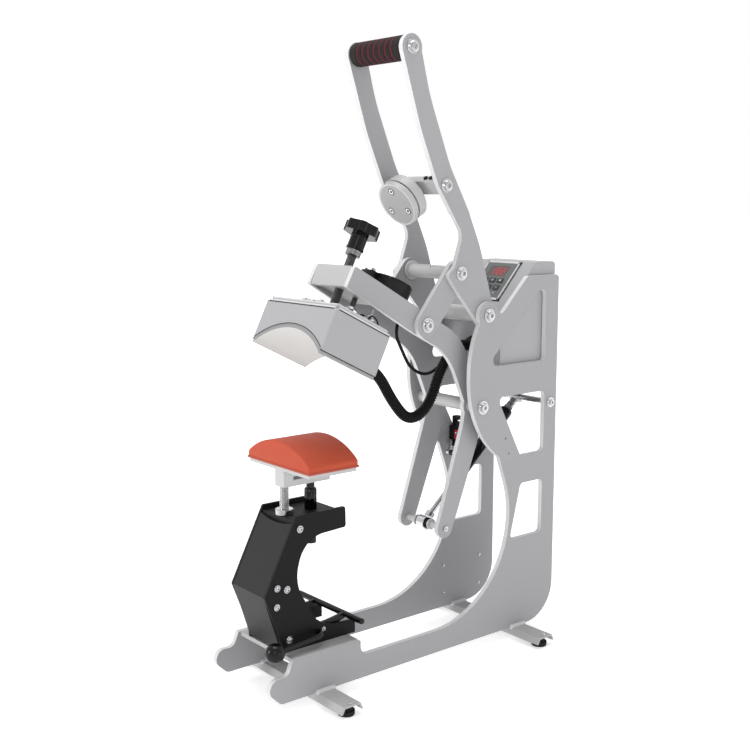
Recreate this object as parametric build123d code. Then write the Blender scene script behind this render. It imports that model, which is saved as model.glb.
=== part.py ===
from build123d import *
import math
import os

os.makedirs("parts", exist_ok=True)

# Cap heat press. Millimetres; X across the press, front of the press toward -Y, floor at Z = 0.

# ---- layers of side plates, from the frame inward ----
PLATE = 8.0
PLATE_GAP = 0.5
FRAME_IN = 65.0
FRAME_OUT = FRAME_IN + PLATE
HANDLE_OUT = FRAME_IN - PLATE_GAP
HANDLE_IN = HANDLE_OUT - PLATE
LINK_OUT = HANDLE_IN - PLATE_GAP
LINK_IN = LINK_OUT - PLATE
ARM_OUT = LINK_IN - PLATE_GAP
ARM_IN = ARM_OUT - PLATE

# ---- pivots in the side view (y, z), press open ----
FRAME_REAR = 279.0
LINK_LOW_Y = 14.4
MAIN = (113.0, 386.0)
HANDLE_PIVOT = (124.0, 526.0)
LINK_TOP = (73.0, 591.0)
LINK_LOW = (LINK_LOW_Y, 517.4)
SPRING_LOW = (61.0, 199.5)
SPRING_REAR = (FRAME_REAR - 14.3, 377.5)
HEAD_OPEN = 26.5

# ---- shaft and fit sizes ----
MAIN_SHAFT_R = 10.0
HANDLE_SHAFT_R = 12.0
LINK_SHAFT_R = 10.5
REAR_PIN_R = 5.5
LOW_PIN_R = 5.0
RUN_FIT = 0.05
FIXED_FIT = 0.03
BOLT_R = 5.0
BOLT_DEPTH = 14.0

# ---- frame ----
DECK_TOP = 75.0
DECK_FRONT = -240.0
DECK_REAR = -125.2
DECK_T = 6.0
PLATE_BOTTOM = 18.0
FOOT_LINES = (-189.0, 198.5)
FOOT_HALF_LENGTH = 135.0
FOOT_X = FOOT_HALF_LENGTH - 14.0
FOOT_BAR_BOTTOM = 8.0

# ---- control box ----
BOX_FRONT = 158.0
BOX_BOTTOM = 442.0
BOX_TOP = 602.5
BOX_WALL = 1.5
BOX_HALF = 64.0
BOX_BOSSES = ((FRAME_REAR - 12.0, 560.0), (FRAME_REAR - 12.0, 455.0), (FRAME_REAR - 64.0, 568.0))
SLOPE_TOP = (FRAME_REAR - 44.4, BOX_TOP)
SLOPE_LOW = (BOX_FRONT, 518.5)

# ---- limit switch ----
SWITCH_PIVOT = (170.5, 306.0)

# ---- stand ----
STAND_OUT = 42.5
STAND_T = 4.0
STAND_IN = STAND_OUT - STAND_T
STAND_DECK_Z = 260.0
SCOOP_R = 151.0
FRONT_POST_Y = -204.5
REAR_POST_Y = -158.7
LEVER_SHAFT = (-178.0, 92.0)
LEVER_R = 4.0
BALL_AT = (57.0, -262.0, 86.0)
BALL_R = 14.0
HOLD_BAR = (-125.0, 104.0)

# ---- pad ----
PAD_HALF = 75.0
PAD_FRONT = -215.0
PAD_REAR = -130.0
PAD_R = 121.2
CARRIER_BOTTOM = STAND_DECK_Z + 41.0
BASE_BOTTOM = CARRIER_BOTTOM + 24.0
PAD_BOTTOM = BASE_BOTTOM + 5.5
PAD_APEX = PAD_BOTTOM + 36.5

# ---- heated head, drawn closed ----
HEAD_HALF = 84.0
HEAD_FRONT = -218.0
HEAD_REAR = -114.0
COVER_BOTTOM = 351.0
COVER_TOP = 411.0
COVER_WALL = 1.5
PLATEN_R = 123.2
PLATEN_T = 6.0
PLATEN_APEX = 375.0
PLATEN_HALF = 80.0
TOP_PLATE_T = 5.0
SCREW_Y = -165.0
KNOB_LOBES = 7
KNOB_R = 26.5
LOBE_R = 7.0
SCREW_R = 6.0
GUIDE_POST_R = 4.0
GUIDE_POST_Y = -133.0
GUIDE_PLATE_Z = 456.0
GUIDE_PLATE_T = 5.0

# ---- magnet and its armature ----
MAGNET_Y = -83.0
MAGNET_R = 34.0
MAGNET_TOP = 504.4
DISC_CENTRE = (2.7, 691.7)
DISC_ANGLE = 210.5
DISC_R = 35.0
BAR_NEAR = 37.0
BAR_T = 16.0

# ---- gas spring, distances from its rear eye ----
SPRING_TUBE_R = 10.0
SPRING_ROD_R = 4.5
SPRING_TUBE_END = 196.0


def save(name, shape):
    export_step(Compound(shape.solids()) if len(shape.solids()) > 1 else shape.solids()[0], f"parts/{name}.step")


def outline(corners):
    """Filled side-view outline from corners given as (y, z, corner radius)."""
    line = FilletPolyline(*[(c[0], c[1]) for c in corners], radius=[c[2] for c in corners], close=True)
    return make_face(line)


def round_at(point, radius):
    return Pos(point[0], point[1]) * Circle(radius)


def slab(face, x0, x1):
    return extrude(Plane.YZ.offset(x0) * face, amount=x1 - x0)


def rod_x(point, radius, x0, x1):
    return slab(round_at(point, radius), x0, x1)


def rod_z(x, y, radius, z0, z1):
    return Pos(x, y, z0) * extrude(Circle(radius), amount=z1 - z0)


def block(x0, x1, y0, y1, z0, z1):
    centre = ((x0 + x1) / 2, (y0 + y1) / 2, (z0 + z1) / 2)
    return Pos(*centre) * Box(x1 - x0, y1 - y0, z1 - z0)


def other_side(shape):
    return mirror(shape, about=Plane.YZ)


def both_sides(shape):
    return shape + other_side(shape)


def opened(shape):
    """Moves a head piece from its closed place to the open rest place."""
    axis = Axis((0, MAIN[0], MAIN[1]), (1, 0, 0))
    return shape.rotate(axis, -HEAD_OPEN)


def closed_point(point):
    """Side-view point of the head in the closed press."""
    a = math.radians(HEAD_OPEN)
    y = point[0] - MAIN[0]
    z = point[1] - MAIN[1]
    return (MAIN[0] + y * math.cos(a) - z * math.sin(a), MAIN[1] + y * math.sin(a) + z * math.cos(a))


def button_head(point, x0, washer_r, head_r, height):
    """Washer and domed socket head standing on a face at x0, pointing outward."""
    washer = rod_x(point, washer_r, x0, x0 + 2)
    head = rod_x(point, head_r, x0 + 2, x0 + 2 + height)
    head = fillet(head.edges().filter_by(GeomType.CIRCLE).sort_by(Axis.X)[-1], height * 0.7)
    socket = slab(Pos(point[0], point[1]) * RegularPolygon(head_r * 0.42, 6), x0 + height * 0.5, x0 + 3 + height)
    return washer + (head - socket)


def pivot_bolt(point, x_face, x_inner, shank_r=BOLT_R):
    """Button-head bolt through a plate and into the shaft end behind it."""
    head = button_head(point, x_face, 10.5, 8.0, 4.5)
    return head + rod_x(point, shank_r, x_inner - BOLT_DEPTH + 1, x_face)


def bored_shaft(point, radius, half, bore=BOLT_R):
    """Cross shaft with a tapped hole in each end."""
    shaft = rod_x(point, radius, -half, half)
    hole = rod_x(point, bore + FIXED_FIT, half - BOLT_DEPTH, half)
    return shaft - hole - other_side(hole)


# ---------------------------------------------------------------- frame
def frame_plate():
    body = outline([
        (-264, 18, 12), (-284, 38, 12), (-276, 55, 12), (-252, 54, 12), (-243.5, 75, 2),
        (-125.2, 75, 1.5), (-125.2, 52, 14), (242.2, 52, 156), (151.4, 303, 14),
        (86.7, 352.7, 150), (85.9, 475.8, 160), (107, 518, 0), (124, 541, 0), (140, 533, 0),
        (152, 526.5, 7), (207.5, 582, 7), (FRAME_REAR, 582, 6), (FRAME_REAR, 18, 60),
    ])
    body = body + round_at(HANDLE_PIVOT, 21)
    body = body - outline([(250, 574, 10), (250, 446.5, 6), (120, 446.5, 10)])
    body = body - outline([(145, 398, 8), (251, 398, 8), (251, 299.5, 8), (198, 299.5, 8)])
    body = body - outline([(200, 254, 8), (250, 254, 8), (250, 165, 8), (177, 165, 8)])
    for hole in ((165, 331), (172, 306)):
        body = body - round_at(hole, 2.0)
    for pivot in (MAIN, HANDLE_PIVOT):
        body = body - round_at(pivot, BOLT_R + FIXED_FIT)
    body = body - round_at(SPRING_REAR, 3.0 + FIXED_FIT)
    return slab(body, FRAME_IN, FRAME_OUT)


def frame():
    plate = frame_plate()
    save("right_frame_plate", plate)
    save("left_frame_plate", other_side(plate))
    save("frame_deck_plate", block(-FRAME_IN, FRAME_IN, DECK_FRONT, DECK_REAR, DECK_TOP - DECK_T, DECK_TOP))
    save("main_pivot_shaft", bored_shaft(MAIN, MAIN_SHAFT_R, FRAME_IN))
    save("handle_pivot_shaft", bored_shaft(HANDLE_PIVOT, HANDLE_SHAFT_R, FRAME_IN))
    save("gas_spring_rear_pin", bored_shaft(SPRING_REAR, REAR_PIN_R, FRAME_IN, 3.0))
    bolts = pivot_bolt(MAIN, FRAME_OUT, FRAME_IN) + pivot_bolt(HANDLE_PIVOT, FRAME_OUT, FRAME_IN)
    rear = button_head(SPRING_REAR, FRAME_OUT, 8.0, 5.5, 3.5)
    rear = rear + rod_x(SPRING_REAR, 3.0, FRAME_IN - BOLT_DEPTH + 1, FRAME_OUT)
    save("frame_pivot_bolts", both_sides(bolts + rear))


def foot_bar(line):
    outer = Polyline((line - 19, 8), (line - 14, PLATE_BOTTOM), (line + 14, PLATE_BOTTOM), (line + 19, 8),
                     (line + 16.2, 8), (line + 12.2, 15.5), (line - 12.2, 15.5), (line - 16.2, 8), close=True)
    return slab(make_face(outer), -FOOT_HALF_LENGTH, FOOT_HALF_LENGTH)


def feet():
    save("front_foot_bar", foot_bar(FOOT_LINES[0]))
    save("rear_foot_bar", foot_bar(FOOT_LINES[1]))
    pads = None
    for line in FOOT_LINES:
        pad = fillet(rod_z(FOOT_X, line, 12, 0, 7).edges().sort_by(Axis.Z)[0], 1.5)
        pad = pad + rod_z(FOOT_X, line, 9, 7, 15.5)
        pads = both_sides(pad) if pads is None else pads + both_sides(pad)
    save("rubber_feet", pads)


# ---------------------------------------------------------------- control box
def slope_place(s, x, lift=0.0):
    """Plane lying on the sloped front of the control box, s below its top edge."""
    dy = SLOPE_LOW[0] - SLOPE_TOP[0]
    dz = SLOPE_LOW[1] - SLOPE_TOP[1]
    length = math.hypot(dy, dz)
    uy = dy / length
    uz = dz / length
    origin = (x, SLOPE_TOP[0] + uy * s + uz * lift, SLOPE_TOP[1] + uz * s - uy * lift)
    return Plane(origin=origin, x_dir=(1, 0, 0), z_dir=(0, uz, -uy))


def on_slope(s0, s1, x0, x1, z0, z1, radius=0.0):
    """Block on the slope from s0 to s1 down it, x0 to x1 across, z0 to z1 out of it."""
    shape = Rectangle(x1 - x0, s1 - s0)
    if radius > 0:
        shape = RectangleRounded(x1 - x0, s1 - s0, radius)
    place = slope_place((s0 + s1) / 2, (x0 + x1) / 2, z0)
    return extrude(place * shape, amount=z1 - z0)


def control_box():
    half = BOX_HALF
    outer = outline([(BOX_FRONT, BOX_BOTTOM, 2), (*SLOPE_LOW, 4), (*SLOPE_TOP, 6), (FRAME_REAR, BOX_TOP, 6),
                     (FRAME_REAR, BOX_BOTTOM, 2)])
    shell = slab(outer, -half, half)
    cavity = slab(offset(outer, -BOX_WALL), -half + BOX_WALL, half - BOX_WALL)
    shell = shell - cavity
    for spot in BOX_BOSSES:
        shell = shell + both_sides(rod_x(spot, 6, half, FRAME_IN))
    shell = shell - on_slope(9, 75, -30, 30, -4, 4)
    hose_hole = Plane(origin=(HOSE_GLAND[0], BOX_FRONT - 2, HOSE_GLAND[2]), z_dir=(0, 1, 0))
    shell = shell - extrude(hose_hole * Circle(8), amount=6)
    cable_hole = Plane(origin=(CABLE_GLAND[0], BOX_FRONT - 2, CABLE_GLAND[2]), z_dir=(0, 1, 0))
    shell = shell - extrude(cable_hole * Circle(3), amount=6)
    shell = shell - block(-24, 24, FRAME_REAR - 3, FRAME_REAR + 1, 466, 494)
    shell = shell - block(-10, 10, FRAME_REAR - 3, FRAME_REAR + 1, 506, 534)
    save("control_box_shell", shell)

    panel = on_slope(7, 77, -32, 32, 0, 2, 3) - on_slope(14, 34, -20, 20, 1.2, 3, 1)
    for row in range(2):
        for column in range(3):
            s = 43 + row * 14
            x = -17 + column * 17
            panel = panel + on_slope(s - 4.5, s + 4.5, x - 6, x + 6, 1, 2.8, 2)
    save("control_panel", panel)


def back_fittings():
    y = FRAME_REAR
    body = block(-23.95, 23.95, y - 22, y, 466.05, 493.95)
    flange = block(-28, 28, y, y + 2, 461, 499)
    recess = block(-12, 12, y - 14, y + 3, 470, 490)
    pins = block(-8, -6, y - 14, y - 4, 476, 480) + block(6, 8, y - 14, y - 4, 476, 480)
    pins = pins + block(-1, 1, y - 14, y - 4, 482, 486)
    inlet = body + flange - recess + pins
    bezel = block(-9.95, 9.95, y - 16, y, 506.05, 533.95) + block(-12.5, 12.5, y, y + 1.5, 503.5, 536.5)
    well = block(-7.5, 7.5, y - 12, y + 3, 508.5, 531.5)
    stub = Plane(origin=(7.5, y - 3.0, 520), z_dir=(-1, 0, 0))
    pin = extrude(stub * Circle(1.2), amount=15)
    save("power_inlet", inlet + (bezel - well + pin))
    side = Plane.YZ.offset(-7.2)
    rocker = make_face(Polyline((y - 7, 509.5), (y + 1.2, 509.5), (y - 0.2, 520), (y + 1.2, 530.5), (y - 7, 530.5),
                                close=True))
    rocker = extrude(side * rocker, amount=14.4)
    bore = extrude(Plane(origin=(8, y - 3.0, 520), z_dir=(-1, 0, 0)) * Circle(1.2 + RUN_FIT), amount=16)
    turn = Axis((0, y - 3.0, 520), (1, 0, 0))
    reach = extrude(Plane.YZ.offset(-7.2) * (Pos(y - 3.0, 520) * Circle(11.0)), amount=14.4)
    rocker = (rocker & reach) - bore
    save("power_switch_rocker", rocker.rotate(turn, 8))


def gland(place, hose_r, flange_r, length):
    x, y, z = place
    plane = Plane(origin=(x, y - length, z), z_dir=(0, 1, 0))
    body = extrude(plane * RegularPolygon(flange_r, 6), amount=length)
    return body - extrude(plane * Circle(hose_r), amount=length)


# ---------------------------------------------------------------- hose and cable
HOSE_R = 8.5
CABLE_R = 2.5
HOSE_GLAND = (9.0, BOX_FRONT, 474.0)
CABLE_GLAND = (-16.0, BOX_FRONT, 472.0)
GLAND_LENGTH = 10.0
CABLE_BOSS_Z = 468.0


def bend_radii(points):
    """Largest even bends that fit the straight runs between the points."""
    radii = []
    for before, here, after in zip(points, points[1:], points[2:]):
        a = [here[i] - before[i] for i in range(3)]
        b = [after[i] - here[i] for i in range(3)]
        la = math.dist(before, here)
        lb = math.dist(here, after)
        cosine = sum(p * q for p, q in zip(a, b)) / (la * lb)
        turn = math.acos(max(-1.0, min(1.0, cosine)))
        radii.append(0.45 * min(la, lb) / math.tan(turn / 2))
    print("bend radii", [round(r, 1) for r in radii])
    return radii


def flexible(points, radius):
    path = FilletPolyline(*points, radius=bend_radii(points))
    return sweep(Plane(origin=path @ 0, z_dir=path % 0) * Circle(radius), path=path)


def from_closed(x, y, z):
    """Space point of the head, given closed, at its open rest place."""
    a = math.radians(-HEAD_OPEN)
    dy = y - MAIN[0]
    dz = z - MAIN[1]
    return (x, MAIN[0] + dy * math.cos(a) - dz * math.sin(a), MAIN[1] + dy * math.sin(a) + dz * math.cos(a))


def flexible_lines():
    hose = [from_closed(26, HEAD_REAR, 372), from_closed(26, HEAD_REAR + 42, 372), (18, -19, 400), (16, 14, 368),
            (13, 56, 384), (12, 82, 444), (HOSE_GLAND[0], 116, HOSE_GLAND[2]),
            (HOSE_GLAND[0], BOX_FRONT - GLAND_LENGTH, HOSE_GLAND[2])]
    save("corrugated_hose", flexible(hose, HOSE_R))
    cable = [from_closed(-6, -38, CABLE_BOSS_Z), from_closed(-6, -38, CABLE_BOSS_Z - 26), (-7, 19, 474),
             (-9, 38, 443), (-12, 76, 428), (-14, 112, 446), (CABLE_GLAND[0], 128, CABLE_GLAND[2]),
             (CABLE_GLAND[0], BOX_FRONT - GLAND_LENGTH, CABLE_GLAND[2])]
    save("magnet_cable", flexible(cable, CABLE_R))
    glands = gland(HOSE_GLAND, 6.0, 14.0, GLAND_LENGTH) + gland(CABLE_GLAND, 1.8, 6.5, GLAND_LENGTH)
    save("box_glands", glands)


# ---------------------------------------------------------------- limit switch on the left plate
def limit_switch():
    face = -FRAME_IN
    body = slab(outline([(173, 296, 2), (193, 296, 2), (193, 330, 2), (173, 330, 2)]), face, face + 15)
    tabs = slab(outline([(178, 330, 0), (189, 330, 0), (189, 346, 1), (178, 346, 1)]), face + 2, face + 12)
    tabs = tabs - slab(outline([(177, 336, 0), (190, 336, 0), (190, 339, 0), (177, 339, 0)]), face + 3.5, face + 13)
    y, z = SWITCH_PIVOT
    ear = outline([(y, z + 2, 0), (174, z + 2, 0), (174, z - 2, 0), (y, z - 2, 0)]) + round_at(SWITCH_PIVOT, 2)
    ears = slab(ear, face + 3.6, face + 4.8) + slab(ear, face + 11.2, face + 12.4)
    ears = ears + rod_x(SWITCH_PIVOT, 0.8, face + 4, face + 12)
    save("limit_switch_body", body + tabs + ears)
    arm = outline([(y + 0.6, z, 0), (y - 0.6, z, 0), (y - 5.6, z - 19, 0), (y - 4.4, z - 19, 0)])
    arm = arm + round_at(SWITCH_PIVOT, 1.8) - round_at(SWITCH_PIVOT, 0.8 + RUN_FIT)
    lever = slab(arm, face + 5, face + 11) + rod_x((y - 5, z - 19), 4.2, face + 5, face + 11)
    save("limit_switch_lever", lever)


# ---------------------------------------------------------------- stand and pad
def stand_side():
    top = STAND_DECK_Z
    face = outline([(-214.4, top + 7, 3), (-128.5, top + 7, 3), (-127.4, top - 23, 4), (-200, top - 26.5, 45),
                    (-218, 172, 60),
                    (-178, 106, 30), (-150, 96.5, 20), (-111.5, 95, 6), (-111.5, DECK_TOP, 0), (-240, DECK_TOP, 0),
                    (-241, 91, 4), (-268, 161, 3)])
    face = face - round_at(LEVER_SHAFT, LEVER_R + RUN_FIT)
    return slab(face, STAND_IN, STAND_OUT)


def stand():
    side = stand_side()
    save("stand_right_side", side)
    save("stand_left_side", other_side(side))
    top = STAND_DECK_Z
    facet = make_face(Polyline((-240.6, 78), (-267.6, 161), (-219, top - 3), (-216.4, top - 4.2), (-264.6, 161),
                               (-237.8, 78), close=True))
    panel = slab(facet, -STAND_IN, STAND_IN)
    scoop = Plane(origin=(0, -260, top + SCOOP_R - 8), z_dir=(0, 1, 0))
    panel = panel - extrude(scoop * Circle(SCOOP_R), amount=60)
    save("stand_front_panel", panel)
    deck = block(-STAND_IN, STAND_IN, -216, -129.5, STAND_DECK_Z - 4, STAND_DECK_Z)
    deck = deck + block(-STAND_IN + 2, STAND_IN - 2, -216, -213, STAND_DECK_Z - 16, STAND_DECK_Z - 4)
    deck = deck - rod_z(0, REAR_POST_Y, 7.8 + FIXED_FIT, STAND_DECK_Z - 5, STAND_DECK_Z + 1)
    save("stand_deck_plate", deck)
    screws = None
    for y, z, washer, head in ((-208.7, top - 11.6, 5.2, 3.8), (-247.8, 171.4, 4.8, 3.5), (-231.7, 166.4, 5.2, 3.9),
                               (-249, 144.5, 4.8, 3.5), (-228.6, 93, 5.2, 3.8), (-169.5, 94.5, 3.2, 2.4)):
        screw = button_head((y, z), STAND_OUT, washer, head, 3)
        screws = both_sides(screw) if screws is None else screws + both_sides(screw)
    save("stand_screws", screws)
    collar = rod_z(0, FRONT_POST_Y, 13, STAND_DECK_Z, STAND_DECK_Z + 8)
    collar = chamfer(collar.edges().filter_by(GeomType.CIRCLE), 0.8)
    save("front_post", collar + rod_z(0, FRONT_POST_Y, 6.25, STAND_DECK_Z, CARRIER_BOTTOM))
    step = CARRIER_BOTTOM - 10
    rear = rod_z(0, REAR_POST_Y, 7.8, top - 50, step) + rod_z(0, REAR_POST_Y, 6, step, CARRIER_BOTTOM)
    rear = rear + rod_z(0, REAR_POST_Y, 11, STAND_DECK_Z - 12, STAND_DECK_Z - 4)
    save("rear_post", rear)


def arch_face(half, radius, apex, low):
    """Front-view outline: flat bottom at low, round top of the given radius."""
    shoulder = apex - radius + math.sqrt(radius * radius - half * half)
    top = ThreePointArc((half, shoulder), (0, apex), (-half, shoulder))
    sides = Polyline((-half, shoulder), (-half, low), (half, low), (half, shoulder))
    return make_face(top + sides)


def along_y(face, y0, y1):
    """Extrudes a front-view outline (x, z) from y0 back to y1."""
    plane = Plane(origin=(0, y1, 0), x_dir=(1, 0, 0), z_dir=(0, -1, 0))
    return extrude(plane * face, amount=y1 - y0)


def pad():
    body = along_y(arch_face(PAD_HALF, PAD_R, PAD_APEX, PAD_BOTTOM), PAD_FRONT, PAD_REAR)
    save("silicone_pad", body)
    save("pad_base_plate", block(-73, 73, PAD_FRONT + 2, PAD_REAR - 2, BASE_BOTTOM, PAD_BOTTOM))
    block_ = block(-11, 11, -212, -132, CARRIER_BOTTOM, BASE_BOTTOM)
    slot = block(-12, 12, -196, -176, CARRIER_BOTTOM + 9, CARRIER_BOTTOM + 14)
    save("pad_carrier_block", block_ - slot)


def hold_down():
    y, z = LEVER_SHAFT
    bx, by, bz = BALL_AT
    path = FilletPolyline((-46, y, z), (bx, y, z), (bx, by + 10, bz + 0.7), radius=12)
    lever = sweep(Plane(origin=(-46, y, z), z_dir=(1, 0, 0)) * Circle(LEVER_R), path=path)
    save("hold_down_lever", lever)
    ball = Pos(bx, by, bz) * Sphere(BALL_R)
    ball = ball - lever
    save("lever_ball_knob", ball)
    arm = outline([(y - 8, z - 7, 5), (y + 8, z - 7, 5), (HOLD_BAR[0] + 2, HOLD_BAR[1] - 4, 2),
                   (HOLD_BAR[0] + 2, HOLD_BAR[1] + 4, 2), (y - 8, z + 7, 5)])
    arm = slab(arm - round_at(LEVER_SHAFT, LEVER_R + FIXED_FIT), STAND_IN - 5, STAND_IN - 1)
    bar = rod_x(HOLD_BAR, 4.5, -78.5, 78.5)
    bar = fillet(bar.edges().filter_by(GeomType.CIRCLE), 3.5)
    save("hold_down_bar", bar + both_sides(arm))


# ---------------------------------------------------------------- swinging head
def arm_plate():
    face = outline([(-188, 484, 3), (58, 472.8, 100), (151.5, 349.5, 50), (165, 196, 0), (134.8, 196, 0),
                    (112, 350, 60), (103, 381, 14), (33.8, 439.9, 100), (-50, 441.5, 300), (-189, 452, 3)])
    face = face + round_at(closed_point(SPRING_LOW), 15) + round_at(MAIN, 16)
    face = face - round_at(MAIN, MAIN_SHAFT_R + RUN_FIT)
    return slab(face, ARM_IN, ARM_OUT)


def beam_top(y):
    """Height of the beam's top edge at y, closed."""
    return 484.0 + (y + 188.0) * (472.8 - 484.0) / (58.0 + 188.0)


def beam():
    plate = opened(arm_plate())
    save("right_arm_plate", plate)
    save("left_arm_plate", other_side(plate))
    rear = -22.0
    top = make_face(Polyline((-188, beam_top(-188)), (rear, beam_top(rear)), (rear, beam_top(rear) - 6),
                             (-188, beam_top(-188) - 6), close=True))
    top = slab(top, -ARM_IN, ARM_IN)
    top = top - rod_z(0, SCREW_Y, SCREW_R + 1, 460, 500)
    front = block(-ARM_IN, ARM_IN, -188, -182, 452.5, beam_top(-182) - 3)
    boss = rod_z(-6, -38, 6, CABLE_BOSS_Z, beam_top(-38) - 3)
    save("beam_top_plate", opened(top + front + boss))
    guide = block(-ARM_IN, ARM_IN, -182, -108, GUIDE_PLATE_Z, GUIDE_PLATE_Z + GUIDE_PLATE_T)
    guide = guide + Pos(0, SCREW_Y, GUIDE_PLATE_Z) * extrude(RegularPolygon(12, 6), amount=GUIDE_PLATE_T + 11)
    guide = guide - rod_z(0, SCREW_Y, SCREW_R + RUN_FIT, 450, 480)
    guide = guide - rod_z(0, GUIDE_POST_Y, GUIDE_POST_R + RUN_FIT, 450, 470)
    save("beam_guide_plate", opened(guide))
    pin = bored_shaft(SPRING_LOW, LOW_PIN_R, ARM_IN, 2.5)
    save("gas_spring_lower_pin", pin + both_sides(rod_x(SPRING_LOW, 8.5, 14, 17)))


def magnet():
    pot = rod_z(0, MAGNET_Y, MAGNET_R, 470, MAGNET_TOP)
    groove_low = MAGNET_TOP - 1.5
    groove = rod_z(0, MAGNET_Y, 26, groove_low, MAGNET_TOP) - rod_z(0, MAGNET_Y, 16, groove_low, MAGNET_TOP)
    pot = pot - groove
    under = make_face(Polyline((-140, beam_top(-140)), (-20, beam_top(-20)), (-20, 440), (-140, 440), close=True))
    pot = pot - slab(under, -60, 60)
    guard = block(-13, 13, MAGNET_Y - MAGNET_R - 14, MAGNET_Y - MAGNET_R + 4, 470, MAGNET_TOP - 12)
    guard = guard - slab(under, -60, 60)
    save("electromagnet", opened(pot + guard))


# ---------------------------------------------------------------- heated head
def hollow_arch(half, radius, apex, thickness, y0, y1):
    """Arched plate: inner radius given, cut straight at x = +-half."""
    centre = apex - radius
    ring = Pos(0, centre) * (Circle(radius + thickness) - Circle(radius))
    keep = Pos(0, centre + radius) * Rectangle(2 * half, 2 * radius)
    return along_y(ring & keep, y0, y1)


def head():
    centre = PLATEN_APEX - PLATEN_R
    arch_r = PLATEN_R + PLATEN_T + FIXED_FIT
    cover = block(-HEAD_HALF, HEAD_HALF, HEAD_FRONT, HEAD_REAR, COVER_BOTTOM, COVER_TOP)
    cover = fillet(cover.edges().filter_by(Axis.Z), 3)
    inner = block(-HEAD_HALF + COVER_WALL, HEAD_HALF - COVER_WALL, HEAD_FRONT + COVER_WALL, HEAD_REAR - COVER_WALL,
                  COVER_BOTTOM - 1, COVER_TOP - COVER_WALL)
    cover = cover - inner - along_y(Pos(0, centre) * Circle(arch_r), HEAD_FRONT - 1, HEAD_REAR + 1)
    save("heater_cover", opened(cover))
    platen = hollow_arch(PLATEN_HALF, PLATEN_R, PLATEN_APEX, PLATEN_T, HEAD_FRONT + 0.5, HEAD_REAR - 0.5)
    save("heater_platen", opened(platen))
    fill = block(-PLATEN_HALF, PLATEN_HALF, HEAD_FRONT + 4, HEAD_REAR - 4, COVER_BOTTOM + 4, COVER_TOP - COVER_WALL)
    fill = fill - along_y(Pos(0, centre) * Circle(arch_r), HEAD_FRONT - 1, HEAD_REAR + 1)
    save("insulation_block", opened(fill))
    plate = block(-78, 78, HEAD_FRONT + 4, HEAD_REAR - 4, COVER_TOP, COVER_TOP + TOP_PLATE_T)
    top = COVER_TOP + TOP_PLATE_T
    cup = rod_z(0, SCREW_Y, 15, top, top + 6) + rod_z(0, SCREW_Y, 8.3, top, top + 13)
    cup = cup - rod_z(0, SCREW_Y, SCREW_R + RUN_FIT, top + 2, GUIDE_PLATE_Z)
    save("head_top_plate", opened(plate))
    save("screw_thrust_cup", opened(cup))
    screws = None
    for x, y in ((70, HEAD_FRONT + 14), (70, HEAD_REAR - 14)):
        screw = rod_z(x, y, 5, top, top + 3.5)
        screw = fillet(screw.edges().filter_by(GeomType.CIRCLE).sort_by(Axis.Z)[-1], 2)
        screws = both_sides(screw) if screws is None else screws + both_sides(screw)
    save("head_screws", opened(screws))
    post = rod_z(0, GUIDE_POST_Y, GUIDE_POST_R, top, GUIDE_PLATE_Z + GUIDE_PLATE_T + 8)
    save("guide_post", opened(post + rod_z(0, GUIDE_POST_Y, 7, top, top + 5)))


def knob():
    low = COVER_TOP + TOP_PLATE_T + 2
    screw = rod_z(0, SCREW_Y, SCREW_R, low, 526)
    nut = Pos(0, SCREW_Y, 508) * extrude(RegularPolygon(11, 6), amount=9)
    save("pressure_screw", opened(screw + nut))
    body = rod_z(0, SCREW_Y, 12.5, 517, 543) + rod_z(0, SCREW_Y, KNOB_R - 3, 541, 556)
    reach = KNOB_R - LOBE_R
    for k in range(KNOB_LOBES):
        a = 2 * math.pi * (k + 0.25) / KNOB_LOBES
        body = body + rod_z(reach * math.cos(a), SCREW_Y + reach * math.sin(a), LOBE_R, 541, 556)
    body = body - rod_z(0, SCREW_Y, SCREW_R + FIXED_FIT, 510, 526)
    save("pressure_knob", opened(body))


# ---------------------------------------------------------------- handle and its links
def handle_plate():
    face = outline([(-25, 908, 0), (-42.5, 903, 0), (-8, 797, 300), (26, 719, 60), (76, 648, 24), (60, 601, 5),
                    (46, 589, 6), (68.8, 561, 60), (109, 516, 0), HANDLE_PIVOT + (0,), (142, 532, 0),
                    (112, 628, 200), (88, 680, 200), (48, 748, 200), (8, 845, 300), (-7.5, 904, 0)])
    face = face + round_at((-25, 908), 18) + round_at(HANDLE_PIVOT, 19)
    face = face - round_at(HANDLE_PIVOT, HANDLE_SHAFT_R + RUN_FIT)
    for point in (LINK_TOP, (-25, 908), BAR_BOLT):
        face = face - round_at(point, BOLT_R + FIXED_FIT)
    return slab(face, HANDLE_IN, HANDLE_OUT)


def disc_point(n, t):
    """Side-view point n behind the armature face and t up along it."""
    a = math.radians(DISC_ANGLE)
    return (DISC_CENTRE[0] - n * math.cos(a) + t * math.sin(a), DISC_CENTRE[1] - n * math.sin(a) - t * math.cos(a))


BAR_BOLT = disc_point(BAR_NEAR + 10, 4)


def disc_layer(radius, n0, n1):
    y, z = disc_point(n1, 0)
    a = math.radians(DISC_ANGLE)
    plane = Plane(origin=(0, y, z), x_dir=(1, 0, 0), z_dir=(0, math.cos(a), math.sin(a)))
    return extrude(plane * Circle(radius), amount=n1 - n0)


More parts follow.
